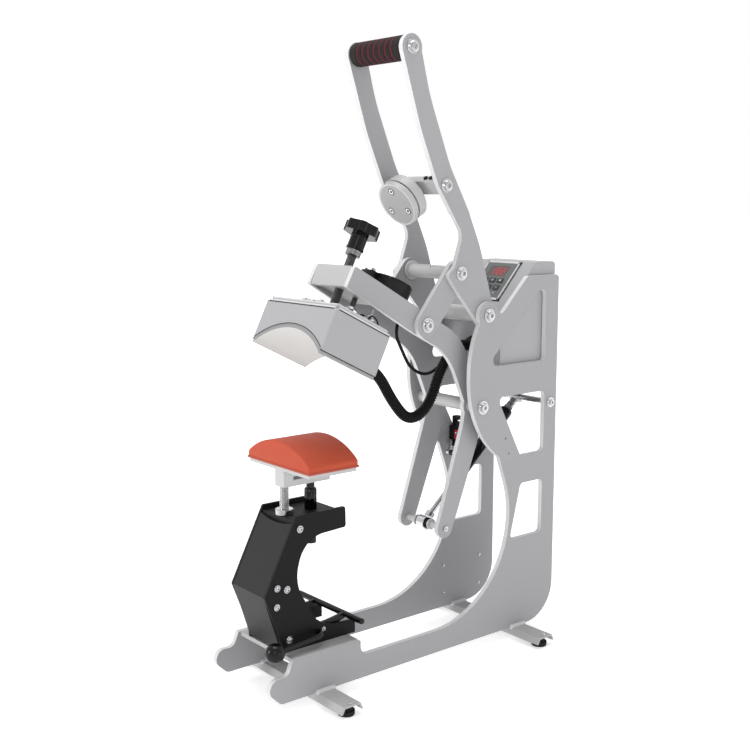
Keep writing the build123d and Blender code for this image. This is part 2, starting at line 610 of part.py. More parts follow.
def handle():
    plate = handle_plate()
    save("right_handle_plate", plate)
    save("left_handle_plate", other_side(plate))
    save("grip_rod", bored_shaft((-25, 908), 9, HANDLE_IN))
    grip = rod_x((-25, 908), 17.5, -HANDLE_IN + 1, HANDLE_IN - 1)
    grip = fillet(grip.edges().filter_by(GeomType.CIRCLE), 2)
    save("foam_grip", grip - rod_x((-25, 908), 9 + FIXED_FIT, -60, 60))
    corners = [disc_point(BAR_NEAR, -5), disc_point(BAR_NEAR, 17), disc_point(BAR_NEAR + BAR_T, 17),
               disc_point(BAR_NEAR + BAR_T, -5)]
    bar = slab(outline([(*c, 1) for c in corners]), -HANDLE_IN, HANDLE_IN)
    hole = rod_x(BAR_BOLT, BOLT_R + FIXED_FIT, HANDLE_IN - BOLT_DEPTH, HANDLE_IN)
    save("armature_bar", bar - hole - other_side(hole))
    disc = disc_layer(DISC_R, 0, 8) + disc_layer(DISC_R - 3, 8, 11) + disc_layer(DISC_R, 11, 26)
    disc = disc + disc_layer(14, 26, BAR_NEAR)
    save("armature_disc", disc)
    save("link_shaft", bored_shaft(LINK_TOP, LINK_SHAFT_R, HANDLE_IN))
    bolts = None
    for point in (LINK_TOP, (-25, 908), BAR_BOLT):
        bolt = both_sides(pivot_bolt(point, HANDLE_OUT, HANDLE_IN))
        bolts = bolt if bolts is None else bolts + bolt
    save("handle_bolts", bolts)


def links():
    dy = LINK_LOW[0] - LINK_TOP[0]
    dz = LINK_LOW[1] - LINK_TOP[1]
    length = math.hypot(dy, dz)
    middle = Pos((LINK_TOP[0] + LINK_LOW[0]) / 2, (LINK_TOP[1] + LINK_LOW[1]) / 2)
    turn = Rot(0, 0, math.degrees(math.atan2(dz, dy)))
    face = middle * turn * SlotCenterToCenter(length, 38.6)
    face = face - round_at(LINK_TOP, LINK_SHAFT_R + RUN_FIT) - round_at(LINK_LOW, 6 + FIXED_FIT)
    link = slab(face, LINK_IN, LINK_OUT)
    save("right_link", link)
    save("left_link", other_side(link))
    pin = button_head(LINK_LOW, LINK_OUT, 11, 8.5, 4.5) + rod_x(LINK_LOW, 6, ARM_OUT + 0.3, LINK_OUT)
    save("link_pins", both_sides(pin))


# ---------------------------------------------------------------- gas spring
def spring_axis(distance):
    """Point on the gas spring's line, measured from the rear eye."""
    dy = SPRING_LOW[0] - SPRING_REAR[0]
    dz = SPRING_LOW[1] - SPRING_REAR[1]
    length = math.hypot(dy, dz)
    return (0, SPRING_REAR[0] + dy / length * distance, SPRING_REAR[1] + dz / length * distance)


def spring_length():
    return math.dist(SPRING_LOW, SPRING_REAR)


def spring_piece(radius, d0, d1):
    p0 = spring_axis(d0)
    p1 = spring_axis(d1)
    direction = tuple(b - a for a, b in zip(p0, p1))
    return extrude(Plane(origin=p0, z_dir=direction) * Circle(radius), amount=d1 - d0)


def gas_spring():
    tube = spring_piece(SPRING_TUBE_R, 16, SPRING_TUBE_END) - spring_piece(SPRING_TUBE_R - 1.5, 24, SPRING_TUBE_END - 8)
    tube = tube - spring_piece(SPRING_ROD_R + RUN_FIT, SPRING_TUBE_END - 9, SPRING_TUBE_END + 1)
    eye = rod_x(SPRING_REAR, 10, -8, 8) + spring_piece(7, 4, 16)
    eye = eye - rod_x(SPRING_REAR, REAR_PIN_R + RUN_FIT, -9, 9)
    save("gas_spring_cylinder", tube + eye)
    end = spring_length()
    piston = spring_piece(SPRING_TUBE_R - 1.5 - RUN_FIT, 88, 98)
    rod = spring_piece(SPRING_ROD_R, 90, end - 9) + piston
    lower = rod_x(SPRING_LOW, 11, -8, 8) + spring_piece(7, end - 18, end - 8)
    rod = rod + lower - rod_x(SPRING_LOW, LOW_PIN_R + 2.2, -9, 9)
    save("gas_spring_rod", rod)


frame()
feet()
control_box()
back_fittings()
flexible_lines()
limit_switch()
stand()
pad()
hold_down()
beam()
magnet()
head()
knob()
handle()
links()
gas_spring()
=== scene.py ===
import math

import bmesh
import bpy
from mathutils import Matrix, Vector


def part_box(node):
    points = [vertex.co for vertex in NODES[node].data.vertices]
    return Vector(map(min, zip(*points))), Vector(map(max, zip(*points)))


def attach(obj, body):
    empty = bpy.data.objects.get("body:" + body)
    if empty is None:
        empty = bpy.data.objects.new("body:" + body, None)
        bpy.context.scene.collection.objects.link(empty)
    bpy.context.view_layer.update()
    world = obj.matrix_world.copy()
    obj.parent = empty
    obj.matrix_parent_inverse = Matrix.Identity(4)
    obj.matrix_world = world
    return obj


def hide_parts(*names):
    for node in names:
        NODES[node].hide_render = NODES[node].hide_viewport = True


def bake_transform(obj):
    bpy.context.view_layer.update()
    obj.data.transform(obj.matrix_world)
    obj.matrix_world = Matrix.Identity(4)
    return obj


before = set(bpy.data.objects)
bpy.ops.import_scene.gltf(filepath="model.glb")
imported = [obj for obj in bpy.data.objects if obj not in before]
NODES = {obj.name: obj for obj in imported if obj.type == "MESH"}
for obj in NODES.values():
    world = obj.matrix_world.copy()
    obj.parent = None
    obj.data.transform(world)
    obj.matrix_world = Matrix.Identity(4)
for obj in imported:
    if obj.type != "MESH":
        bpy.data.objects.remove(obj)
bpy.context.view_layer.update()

bl_info = {
    "name": "Cap Heat Press",
    "version": (1, 0, 0),
    "blender": (4, 5, 0),
    "location": "View3D > Sidebar > Heat Press",
    "description": "Dresses the packed solids of a cap heat press with finishes and small parts",
    "category": "Object",
}

MM = 0.001
X_AXIS = Vector((1, 0, 0))
Y_AXIS = Vector((0, 1, 0))
Z_AXIS = Vector((0, 0, 1))
WORLD_AXES = (X_AXIS, Y_AXIS, Z_AXIS)

# places shared with the solids, in millimetres; a pair is (y, z), and an angle is in radians
MAIN_PIVOT = (113.0, 386.0)
HEAD_OPEN = math.radians(26.5)
LINK_TOP = (73.0, 591.0)
SPRING_LOW = (61.0, 199.5)
SPRING_REAR = (264.7, 377.5)
GRIP = (-25.0, 908.0)
SCREW_Y = -165.0
DISC_FACE = (2.7, 691.7)
DISC_ANGLE = math.radians(210.5)
SLOPE_TOP = (234.6, 602.5)
SLOPE_LOW = (158.0, 518.5)
PAD_RADIUS = 121.2
FOAM_PITCH = 12.5
RINGS_END = 40.0

# lines that small parts stand on, in millimetres
HEAD_MID_Y = -166.0
HEAD_TOP = 416.0
FOOT_LINES = (-189.0, 198.5)
PAD_FOOT_Z = 332.0
PANEL_MID = 42.0
DISPLAY_MID = 24.0


def mm(*values):
    """Millimetres as a vector in metres."""
    return Vector([v * MM for v in values])


def opened(x, y, z):
    """A point of the closed head, in millimetres, at its open rest place in metres."""
    dy = y - MAIN_PIVOT[0]
    dz = z - MAIN_PIVOT[1]
    c = math.cos(HEAD_OPEN)
    s = math.sin(HEAD_OPEN)
    return mm(x, MAIN_PIVOT[0] + dy * c + dz * s, MAIN_PIVOT[1] - dy * s + dz * c)


HEAD_UP = (opened(0, 0, 1) - opened(0, 0, 0)).normalized()
HEAD_BACK = (opened(0, 1, 0) - opened(0, 0, 0)).normalized()
HEAD_AXES = (X_AXIS, HEAD_BACK, HEAD_UP)
DISC_OUT = Vector((0, math.cos(DISC_ANGLE), math.sin(DISC_ANGLE)))


def slope_point(x, down, lift=0.0):
    """A point on the sloped panel face, given across, down the slope and off it."""
    dy = SLOPE_LOW[0] - SLOPE_TOP[0]
    dz = SLOPE_LOW[1] - SLOPE_TOP[1]
    length = math.hypot(dy, dz)
    uy = dy / length
    uz = dz / length
    return mm(x, SLOPE_TOP[0] + uy * down + uz * lift, SLOPE_TOP[1] + uz * down - uy * lift)


SLOPE_OUT = (slope_point(0, 0, 1) - slope_point(0, 0, 0)).normalized()
SLOPE_DOWN = (slope_point(0, 10) - slope_point(0, 0)).normalized()
SLOPE_AXES = (X_AXIS, SLOPE_DOWN, SLOPE_OUT)


# ------------------------------------------------------------------ property groups
def colour(name, description, default):
    return bpy.props.FloatVectorProperty(name=name, description=description, subtype="COLOR", size=3, min=0.0, max=1.0,
                                         default=default)


def length(name, description, default):
    return bpy.props.FloatProperty(name=name, description=description, unit="LENGTH", default=default, min=0.0)


class HeatPressColours(bpy.types.PropertyGroup):
    plate: colour("Plate", "Powder coat on the thick side plates", (0.345, 0.345, 0.36))
    # rim is a painted highlight: the plates' cut edges, the faces that do not look along x, are coloured lighter than
    # the broad faces
    rim: colour("Plate rim", "Lighter cut rim of the plates", (0.66, 0.66, 0.67))
    beam: colour("Beam", "Coat on the folded beam, the deck and the feet", (0.44, 0.44, 0.445))
    shaft: colour("Shaft", "Satin paint on the cross shafts and the armature", (0.50, 0.495, 0.495))
    sheet: colour("Sheet", "Thin folded covers of the head", (0.355, 0.355, 0.365))
    platen: colour("Platen", "Coated face of the heated platen", (0.53, 0.53, 0.52))
    stand: colour("Stand", "Near black powder coat of the stand", (0.009, 0.009, 0.0095))
    # stand_front is a lighter copy of the stand coat: painted light on the faces turned to the front
    stand_front: colour("Stand front", "Folded front panel of the stand", (0.018, 0.018, 0.0185))
    pad: colour("Pad", "Silicone pad", (0.47, 0.068, 0.028))
    foam: colour("Foam", "Foam of the grip", (0.017, 0.0145, 0.0145))
    foam_ring: colour("Foam ring", "Dark red rings in the foam", (0.075, 0.010, 0.016))
    panel: colour("Panel", "Membrane of the control panel", (0.105, 0.115, 0.11))
    display: colour("Display", "Window of the temperature display", (0.05, 0.004, 0.008))
    switch: colour("Switch", "Body of the limit switch", (0.34, 0.016, 0.035))


class HeatPressSizes(bpy.types.PropertyGroup):
    hose_diameter: length("Hose diameter", "Outside of the corrugated hose", 0.017)
    hose_pitch: length("Hose pitch", "Distance between two ribs of the hose", 0.0042)
    cable_diameter: length("Cable diameter", "Outside of the magnet's cable", 0.005)
    thread_pitch: length("Thread pitch", "Lead of the pressure screw", 0.00175)
    grip_radius: length("Grip radius", "Outside of the foam grip", 0.0175)
    weld_size: length("Weld size", "Height of a weld bead", 0.0046)


# ------------------------------------------------------------------ shader groups
GREY = (0.5, 0.5, 0.5, 1)
DRESSED = [("Color", "Color"), ("Roughness", "Float"), ("Height", "Float")]


def new_group(name, kind, inputs, outputs):
    """Node group with its named sockets; an input is (name, kind, default) and an output (name, kind)."""
    tree = bpy.data.node_groups.new(name, kind)
    for label, socket_kind, value in inputs:
        socket = tree.interface.new_socket(name=label, in_out="INPUT", socket_type="NodeSocket" + socket_kind)
        if value is not None:
            socket.default_value = value
    for label, socket_kind in outputs:
        tree.interface.new_socket(name=label, in_out="OUTPUT", socket_type="NodeSocket" + socket_kind)
    return tree, new_node(tree, "NodeGroupInput", (-900, 0)), new_node(tree, "NodeGroupOutput", (900, 0))


def new_node(tree, kind, place, **settings):
    node = tree.nodes.new(kind)
    node.location = place
    for key, value in settings.items():
        setattr(node, key, value)
    return node


def join(tree, source, target):
    tree.links.new(source, target)


def join_nodes(tree, *links):
    """Joins sockets by name; each link is (node, output, node, input)."""
    for source, output, target, entry in links:
        join(tree, source.outputs[output], target.inputs[entry])


def set_inputs(node, values):
    for name, value in values.items():
        node.inputs[name].default_value = value


def math_node(tree, operation, a, b, place):
    node = new_node(tree, "ShaderNodeMath", place, operation=operation)
    for socket, value in zip(node.inputs, (a, b)):
        if value is None:
            continue
        if isinstance(value, (int, float)):
            socket.default_value = value
        else:
            join(tree, value, socket)
    return node.outputs[0]


def vary(tree, start, end, shade_change, rough_change):
    """Scales a group's colour by one plus a change, and adds a change to its roughness."""
    lift = math_node(tree, "ADD", shade_change, 1.0, (80, 160))
    shade = new_node(tree, "ShaderNodeVectorMath", (260, 200), operation="SCALE")
    join(tree, start.outputs["Color"], shade.inputs[0])
    join(tree, lift, shade.inputs["Scale"])
    join(tree, shade.outputs["Vector"], end.inputs["Color"])
    rough = math_node(tree, "ADD", rough_change, start.outputs["Roughness"], (260, -60))
    join(tree, rough, end.inputs["Roughness"])


def coat_grain_group():
    """Powder coat or moulded grain: soft mottling, orange peel height and a little roughness change."""
    tree, start, end = new_group(
        "coat_grain", "ShaderNodeTree",
        [("Vector", "Vector", None), ("Color", "Color", GREY), ("Grain Scale", "Float", 900.0),
         ("Mottle", "Float", 0.06), ("Roughness", "Float", 0.4), ("Spread", "Float", 0.08)], DRESSED)
    cloud = new_node(tree, "ShaderNodeTexNoise", (-600, 200))
    set_inputs(cloud, {"Scale": 14.0, "Detail": 4.0})
    grain = new_node(tree, "ShaderNodeTexNoise", (-600, -150))
    set_inputs(grain, {"Detail": 2.0})
    join_nodes(tree, (start, "Vector", cloud, "Vector"), (start, "Vector", grain, "Vector"),
               (start, "Grain Scale", grain, "Scale"), (grain, "Fac", end, "Height"))
    centred = math_node(tree, "SUBTRACT", cloud.outputs["Fac"], 0.5, (-380, 200))
    fine = math_node(tree, "SUBTRACT", grain.outputs["Fac"], 0.5, (-380, 40))
    both = math_node(tree, "ADD", centred, fine, (-220, 140))
    vary(tree, start, end, math_node(tree, "MULTIPLY", both, start.outputs["Mottle"], (-60, 160)),
         math_node(tree, "MULTIPLY", both, start.outputs["Spread"], (80, -60)))
    return tree


def painted_face_shade_group():
    """Painted light and shade by face direction: faces that look along an axis keep one colour, and all others get a
    second colour.
    """
    tree, start, end = new_group(
        "cut_rim", "ShaderNodeTree",
        [("Normal", "Vector", None), ("Axis", "Vector", (1.0, 0.0, 0.0)), ("Color", "Color", GREY),
         ("Rim Color", "Color", (0.7, 0.7, 0.7, 1))], [("Color", "Color")])
    along = new_node(tree, "ShaderNodeVectorMath", (-400, 0), operation="DOT_PRODUCT")
    join(tree, start.outputs["Normal"], along.inputs[0])
    join(tree, start.outputs["Axis"], along.inputs[1])
    ramp = new_node(tree, "ShaderNodeMapRange", (-60, 0))
    set_inputs(ramp, {"From Min": 0.55, "From Max": 0.95, "To Min": 1.0, "To Max": 0.0})
    join(tree, math_node(tree, "ABSOLUTE", along.outputs["Value"], None, (-220, 0)), ramp.inputs["Value"])
    mix = new_node(tree, "ShaderNodeMix", (160, 0), data_type="RGBA")
    join_nodes(tree, (ramp, "Result", mix, "Factor"), (start, "Color", mix, "A"), (start, "Rim Color", mix, "B"),
               (mix, "Result", end, "Color"))
    return tree


def turned_marks_group():
    """Fine lathe rings across an axis, or brushing when the vector is stretched."""
    tree, start, end = new_group(
        "turned_marks", "ShaderNodeTree",
        [("Vector", "Vector", None), ("Color", "Color", (0.7, 0.7, 0.7, 1)),
         ("Stretch", "Vector", (2200.0, 30.0, 30.0)), ("Roughness", "Float", 0.25), ("Depth", "Float", 0.12)], DRESSED)
    scale = new_node(tree, "ShaderNodeVectorMath", (-600, 0), operation="MULTIPLY")
    join(tree, start.outputs["Vector"], scale.inputs[0])
    join(tree, start.outputs["Stretch"], scale.inputs[1])
    noise = new_node(tree, "ShaderNodeTexNoise", (-420, 0))
    set_inputs(noise, {"Scale": 1.0, "Detail": 3.0})
    join_nodes(tree, (scale, "Vector", noise, "Vector"), (noise, "Fac", end, "Height"))
    centred = math_node(tree, "SUBTRACT", noise.outputs["Fac"], 0.5, (-220, 0))
    amount = math_node(tree, "MULTIPLY", centred, start.outputs["Depth"], (-60, 60))
    vary(tree, start, end, amount, amount)
    return tree


GROUPS = {}
GROUP_MAKERS = {"coat_grain": coat_grain_group, "cut_rim": painted_face_shade_group, "turned_marks": turned_marks_group}


def shader_group(name):
    if name not in GROUPS:
        GROUPS[name] = GROUP_MAKERS[name]()
    return GROUPS[name]


# ------------------------------------------------------------------ materials
def rgba(values):
    return (values[0], values[1], values[2], 1.0)


def start_material(name, rounding):
    """Material with a shader, object coordinates and a bevel that softens sharp corners."""
    material = bpy.data.materials.new(name)
    material.use_nodes = True
    tree = material.node_tree
    tree.nodes.clear()
    end = new_node(tree, "ShaderNodeOutputMaterial", (900, 0))
    shader = new_node(tree, "ShaderNodeBsdfPrincipled", (600, 0))
    join(tree, shader.outputs["BSDF"], end.inputs["Surface"])
    place = new_node(tree, "ShaderNodeTexCoord", (-700, 0))
    bump = new_node(tree, "ShaderNodeBump", (380, -260))
    set_inputs(bump, {"Distance": 0.0002})
    join(tree, bump.outputs["Normal"], shader.inputs["Normal"])
    if rounding > 0:
        bevel = new_node(tree, "ShaderNodeBevel", (180, -380), samples=4)
        set_inputs(bevel, {"Radius": rounding})
        join(tree, bevel.outputs["Normal"], bump.inputs["Normal"])
    return material, tree, shader, place, bump


def painted_face_shade_node(tree, place, base, spot):
    """Painted face shade group on the object's own normal."""
    edge = new_node(tree, "ShaderNodeGroup", spot, node_tree=shader_group("cut_rim"))
    set_inputs(edge, {"Color": rgba(base)})
    join(tree, place.outputs["Normal"], edge.inputs["Normal"])
    return edge


def dress_shader(tree, place, group, shader, bump, height):
    """Feeds a finish group with object coordinates, and the shader with its roughness and height."""
    join_nodes(tree, (place, "Object", group, "Vector"), (group, "Roughness", shader, "Roughness"),
               (group, "Height", bump, "Height"))
    set_inputs(bump, {"Strength": height})


def coated(name, base, rough=0.42, grain=900.0, mottle=0.05, spread=0.08, height=0.10, rim=None, rounding=0.0007,
           specular=0.5, coat=0.0, axis=(1.0, 0.0, 0.0), sides=None):
    """Painted, moulded or rubber finish; rim gives the faces that do not look along the axis a lighter colour, painted
    light, and sides gives the faces that look along x their own colour, painted shade.
    """
    material, tree, shader, place, bump = start_material(name, rounding)
    group = new_node(tree, "ShaderNodeGroup", (60, 120), node_tree=shader_group("coat_grain"))
    set_inputs(group, {"Color": rgba(base), "Grain Scale": grain, "Mottle": mottle, "Roughness": rough,
                       "Spread": spread})
    # Painted light: the rim and sides colours are lit and shaded copies of the base coat, chosen by which way each
    # face looks
    if rim is not None:
        edge = painted_face_shade_node(tree, place, base, (-220, 200))
        set_inputs(edge, {"Rim Color": rgba(rim), "Axis": tuple(axis)})
        if sides is not None:
            painted_side_shade = painted_face_shade_node(tree, place, sides, (-80, 320))
            join(tree, edge.outputs["Color"], painted_side_shade.inputs["Rim Color"])
            edge = painted_side_shade
        join(tree, edge.outputs["Color"], group.inputs["Color"])
    dress_shader(tree, place, group, shader, bump, height)
    join(tree, group.outputs["Color"], shader.inputs["Base Color"])
    set_inputs(shader, {"Specular IOR Level": specular, "Coat Weight": coat, "Coat Roughness": 0.08})
    return material


def machined(name, base, rough=0.24, stretch=(2200.0, 30.0, 30.0), depth=0.12, height=0.06, rounding=0.0005,
             painted_sheen_share=0.35):
    """Bare turned, ground or plated metal with a painted reflection: its colour is darkened where it faces the viewer,
    by the share given, and kept full towards its edges.
    """
    material, tree, shader, place, bump = start_material(name, rounding)
    group = new_node(tree, "ShaderNodeGroup", (60, 120), node_tree=shader_group("turned_marks"))
    set_inputs(group, {"Color": rgba(base), "Stretch": stretch, "Roughness": rough, "Depth": depth})
    # Painted reflection: a Layer Weight ramp darkens the base colour where the surface faces the viewer and leaves it
    # full at grazing angles
    facing = new_node(tree, "ShaderNodeLayerWeight", (-120, 360))
    set_inputs(facing, {"Blend": 0.5})
    ramp = new_node(tree, "ShaderNodeValToRGB", (60, 420))
    painted_sheen_stops = ((0.0, 1.0 - painted_sheen_share), (0.3, 1.0 - painted_sheen_share * 0.6), (0.65, 1.0), (1.0, 1.0))
    while len(ramp.color_ramp.elements) < len(painted_sheen_stops):
        ramp.color_ramp.elements.new(0.5)
    for element, (place_on, shade) in zip(ramp.color_ramp.elements, painted_sheen_stops):
        element.position = place_on
        element.color = rgba((shade, shade, shade))
    mix = new_node(tree, "ShaderNodeMix", (380, 260), data_type="RGBA", blend_type="MULTIPLY")
    set_inputs(mix, {"Factor": 1.0})
    join_nodes(tree, (facing, "Facing", ramp, "Fac"), (group, "Color", mix, "A"), (ramp, "Color", mix, "B"),
               (mix, "Result", shader, "Base Color"))
    dress_shader(tree, place, group, shader, bump, height)
    set_inputs(shader, {"Metallic": 1.0})
    return material


def ringed_foam(name, base, ring):
    """Open foam whose coloured rings stand at set places across the grip."""
    material = coated(name, base, rough=0.8, grain=2600.0, mottle=0.5, spread=0.1, height=0.4, rounding=0,
                      specular=0.2)
    tree = material.node_tree
    place = next(n for n in tree.nodes if n.type == "TEX_COORD")
    group = next(n for n in tree.nodes if n.type == "GROUP")
    split = new_node(tree, "ShaderNodeSeparateXYZ", (-520, 320))
    join(tree, place.outputs["Object"], split.inputs[0])
    wave = math_node(tree, "MULTIPLY", split.outputs["X"], 2 * math.pi / (FOAM_PITCH * MM), (-360, 320))
    crest = math_node(tree, "COSINE", wave, None, (-220, 320))
    mask = new_node(tree, "ShaderNodeMapRange", (-60, 320))
    set_inputs(mask, {"From Min": 0.1, "From Max": 0.75})
    join(tree, crest, mask.inputs["Value"])
    near = math_node(tree, "ABSOLUTE", split.outputs["X"], None, (-360, 480))
    inside = math_node(tree, "LESS_THAN", near, RINGS_END * MM, (-220, 480))
    both = math_node(tree, "MULTIPLY", mask.outputs["Result"], inside, (60, 400))
    mix = new_node(tree, "ShaderNodeMix", (200, 400), data_type="RGBA")
    join(tree, both, mix.inputs["Factor"])
    set_inputs(mix, {"A": rgba(base), "B": rgba(ring)})
    join(tree, mix.outputs["Result"], group.inputs["Color"])
    return material


def glowing(name, base, strength):
    """Small lamp or lit segment."""
    material = coated(name, base, rough=0.3, height=0.0, rounding=0)
    shader = next(n for n in material.node_tree.nodes if n.type == "BSDF_PRINCIPLED")
    set_inputs(shader, {"Emission Color": rgba(base), "Emission Strength": strength})
    return material


# a colour given as a word is the property of that name
COATS = {
    # plate_coat: the rim colour paints a highlight on the plates' cut edges
    "plate_coat": dict(base="plate", rough=0.45, rim="rim", height=0.08, mottle=0.035, specular=0.35),
    "sheet_coat": dict(base="sheet", rough=0.48, grain=1100.0, mottle=0.03, height=0.06),
    "beam_coat": dict(base="beam", grain=1000.0, mottle=0.03, height=0.06),
    "box_coat": dict(base="sheet", rough=0.4, grain=1200.0, mottle=0.03, height=0.08),
    "foot_coat": dict(base="beam", mottle=0.06, height=0.08),
    # platen_coat paints shade: faces that look along HEAD_BACK, the arches, and faces that look along x get darker
    # copies of the platen colour, and the other faces keep it
    "platen_coat": dict(base=(0.26, 0.26, 0.265), rough=0.45, grain=1500.0, height=0.05, rim="platen",
                        axis=HEAD_BACK, sides=(0.33, 0.33, 0.335)),
    "board": dict(base=(0.58, 0.58, 0.57), rough=0.7, grain=700.0, mottle=0.12, height=0.2),
    # stand_coat paints light and shade: faces that look along x keep the stand colour, and all other faces get a
    # lighter copy, the same as stand_front
    "stand_coat": dict(base="stand", rough=0.52, grain=1300.0, mottle=0.2, rim=(0.018, 0.018, 0.018), specular=0.12),
    "stand_front_coat": dict(base="stand_front", rough=0.45, grain=1300.0, mottle=0.12, specular=0.2),
    "black_oxide": dict(base=(0.006, 0.006, 0.006), rough=0.25, grain=1500.0, mottle=0.25, height=0.05,
                        specular=0.25),
    "gloss_black": dict(base=(0.002, 0.002, 0.002), rough=0.06, mottle=0.1, spread=0.03, height=0.01, specular=0.24,
                        rounding=0.0012),
    "moulded_black": dict(base=(0.008, 0.008, 0.008), rough=0.5, grain=1800.0, mottle=0.15, height=0.15,
                          specular=0.2),
    "foot_rubber": dict(base=(0.010, 0.010, 0.010), rough=0.7, grain=1600.0, mottle=0.2, height=0.3, specular=0.2),
    "hose_black": dict(base=(0.0035, 0.0035, 0.0035), rough=0.3, grain=1200.0, mottle=0.2, height=0.04, rounding=0,
                       specular=0.09),
    "cable_black": dict(base=(0.006, 0.006, 0.006), rough=0.4, mottle=0.2, height=0.05, rounding=0, specular=0.14),
    "pad_silicone": dict(base="pad", rough=0.6, grain=2200.0, mottle=0.07, spread=0.1, height=0.22, rounding=0,
                         specular=0.28),
    "panel_membrane": dict(base="panel", rough=0.5, grain=2500.0, mottle=0.08, height=0.15),
    "display_window": dict(base="display", rough=0.1, height=0.0, coat=1.0),
    "key_black": dict(base=(0.02, 0.022, 0.022), rough=0.45, mottle=0.1),
    "switch_red": dict(base="switch", rough=0.3, mottle=0.1, height=0.08),
    # disc_coat paints shade and highlight: the disc's faces get a darker copy of the shaft coat, and its edge a
    # lighter one
    "disc_coat": dict(base=(0.335, 0.33, 0.335), rough=0.38, grain=1400.0, height=0.05, rim=(0.47, 0.465, 0.465),
                      axis=DISC_OUT),
    "enamel_wire": dict(base=(0.5, 0.5, 0.5), rough=0.4, mottle=0.1, height=0.02, rounding=0),
    "shaft_coat": dict(base="shaft", rough=0.36, grain=1200.0, mottle=0.04, height=0.04, coat=0.25),
    "carrier_coat": dict(base=(0.50, 0.50, 0.50), rough=0.4, grain=1400.0, mottle=0.04, height=0.05),
    # near-black finish that paints shadow on strips laid where seams and overhangs are in shade
    "gasket": dict(base=(0.02, 0.02, 0.02), rough=0.7, mottle=0.1, specular=0.2, rounding=0),
    "bezel_coat": dict(base=(0.60, 0.60, 0.61), rough=0.35, mottle=0.02, height=0.03),
    "ceramic": dict(base=(0.62, 0.61, 0.58), rough=0.5, mottle=0.08, height=0.05),
    "pad_rim": dict(base=(0.38, 0.055, 0.025), rough=0.6, mottle=0.08),
}
# each metal's share sets how far its painted reflection darkens it where it faces the viewer
METALS = {
    "shaft_steel": dict(base=(0.50, 0.50, 0.51), rough=0.22),
    "post_steel": dict(base=(0.62, 0.62, 0.63), rough=0.2, painted_sheen_share=0.6),
    "dark_thread": dict(base=(0.13, 0.13, 0.135), rough=0.34, painted_sheen_share=0.3),
    "dull_zinc": dict(base=(0.34, 0.34, 0.345), rough=0.3, painted_sheen_share=0.5),
    "chrome": dict(base=(0.94, 0.94, 0.96), rough=0.1, depth=0.05, height=0.02, painted_sheen_share=0.72),
    "zinc": dict(base=(0.66, 0.66, 0.68), rough=0.22, stretch=(400.0, 400.0, 400.0), depth=0.15),
}
LAMPS = {
    "lamp_pale": dict(base=(0.6, 0.6, 0.55), strength=0.2),
    "lit_red": dict(base=(0.5, 0.02, 0.03), strength=0.25),
}
FOAMS = {"ringed_foam": dict(base="foam", ring="foam_ring")}
MAKERS = ((coated, COATS), (machined, METALS), (glowing, LAMPS), (ringed_foam, FOAMS))
FINISHES = {}


def finish(name):
    """Finds a finish by name, making it on first use."""
    if name not in FINISHES:
        colours = bpy.context.scene.heat_press_colours
        maker, settings = next((maker, table[name]) for maker, table in MAKERS if name in table)
        values = {key: getattr(colours, v) if isinstance(v, str) else v for key, v in settings.items()}
        FINISHES[name] = maker(name, **values)
    return FINISHES[name]


# ------------------------------------------------------------------ mesh helpers
def add_piece(name, mesh, body):
    """Puts a mesh in the scene as a piece, which rides on a body where one is given."""
    piece = bpy.data.objects.new(name, mesh)
    bpy.context.scene.collection.objects.link(piece)
    if body:
        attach(piece, body)
    return piece


def settle(bm, name, finish_name, body, smooth_angle=35.0):
    """Turns a bmesh into a finished piece; edges flatter than the angle are shaded smooth."""
    bmesh.ops.remove_doubles(bm, verts=bm.verts, dist=1e-7)
    bmesh.ops.recalc_face_normals(bm, faces=bm.faces)
    limit = math.radians(smooth_angle)
    for face in bm.faces:
        face.smooth = True
    for edge in bm.edges:
        if len(edge.link_faces) == 2:
            edge.smooth = edge.calc_face_angle(0.0) < limit
    mesh = bpy.data.meshes.new(name)
    bm.to_mesh(mesh)
    bm.free()
    mesh.materials.append(finish(finish_name))
    return add_piece(name, mesh, body)


def basis(direction):
    d = Vector(direction).normalized()
    side = d.orthogonal().normalized()
    return d, side, d.cross(side)


def lathe_into(bm, profile, origin, direction, segments=40, ring_only=False):
    """Adds a solid of revolution from (distance along, radius) pairs; ring_only closes it on itself."""
    d, side, other = basis(direction)
    origin = Vector(origin)
    rings = []
    for along, radius in profile:
        if radius < 1e-7:
            rings.append([bm.verts.new(origin + d * along)])
            continue
        ring = []
        for k in range(segments):
            a = 2 * math.pi * k / segments
            ring.append(bm.verts.new(origin + d * along + (side * math.cos(a) + other * math.sin(a)) * radius))
        rings.append(ring)
    for low, high in zip(rings, rings[1:]):
        for k in range(segments):
            corners = [low[k % len(low)], low[(k + 1) % len(low)], high[(k + 1) % len(high)], high[k % len(high)]]
            unique = list(dict.fromkeys(corners))
            if len(unique) > 2:
                bm.faces.new(unique)
    if ring_only:
        for k in range(segments):
            n = (k + 1) % segments
            bm.faces.new([rings[-1][k], rings[-1][n], rings[0][n], rings[0][k]])
        return
    for ring in (rings[0], rings[-1]):
        if len(ring) > 2:
            bm.faces.new(ring)


def turned(name, parts, origin, direction, finish_name, body, smooth_angle=35.0, ring_only=False):
    """Piece lathed round one axis; each part is (segments, profile)."""
    bm = bmesh.new()
    for segments, profile in parts:
        lathe_into(bm, profile, origin, direction, segments, ring_only)
    return settle(bm, name, finish_name, body, smooth_angle)


def upright(segments, profile, ring_only=False):
    """Lathed shape that stands on z = 0, to be set on spots."""
    bm = bmesh.new()
    lathe_into(bm, profile, (0, 0, 0), Z_AXIS, segments, ring_only)
    return bm


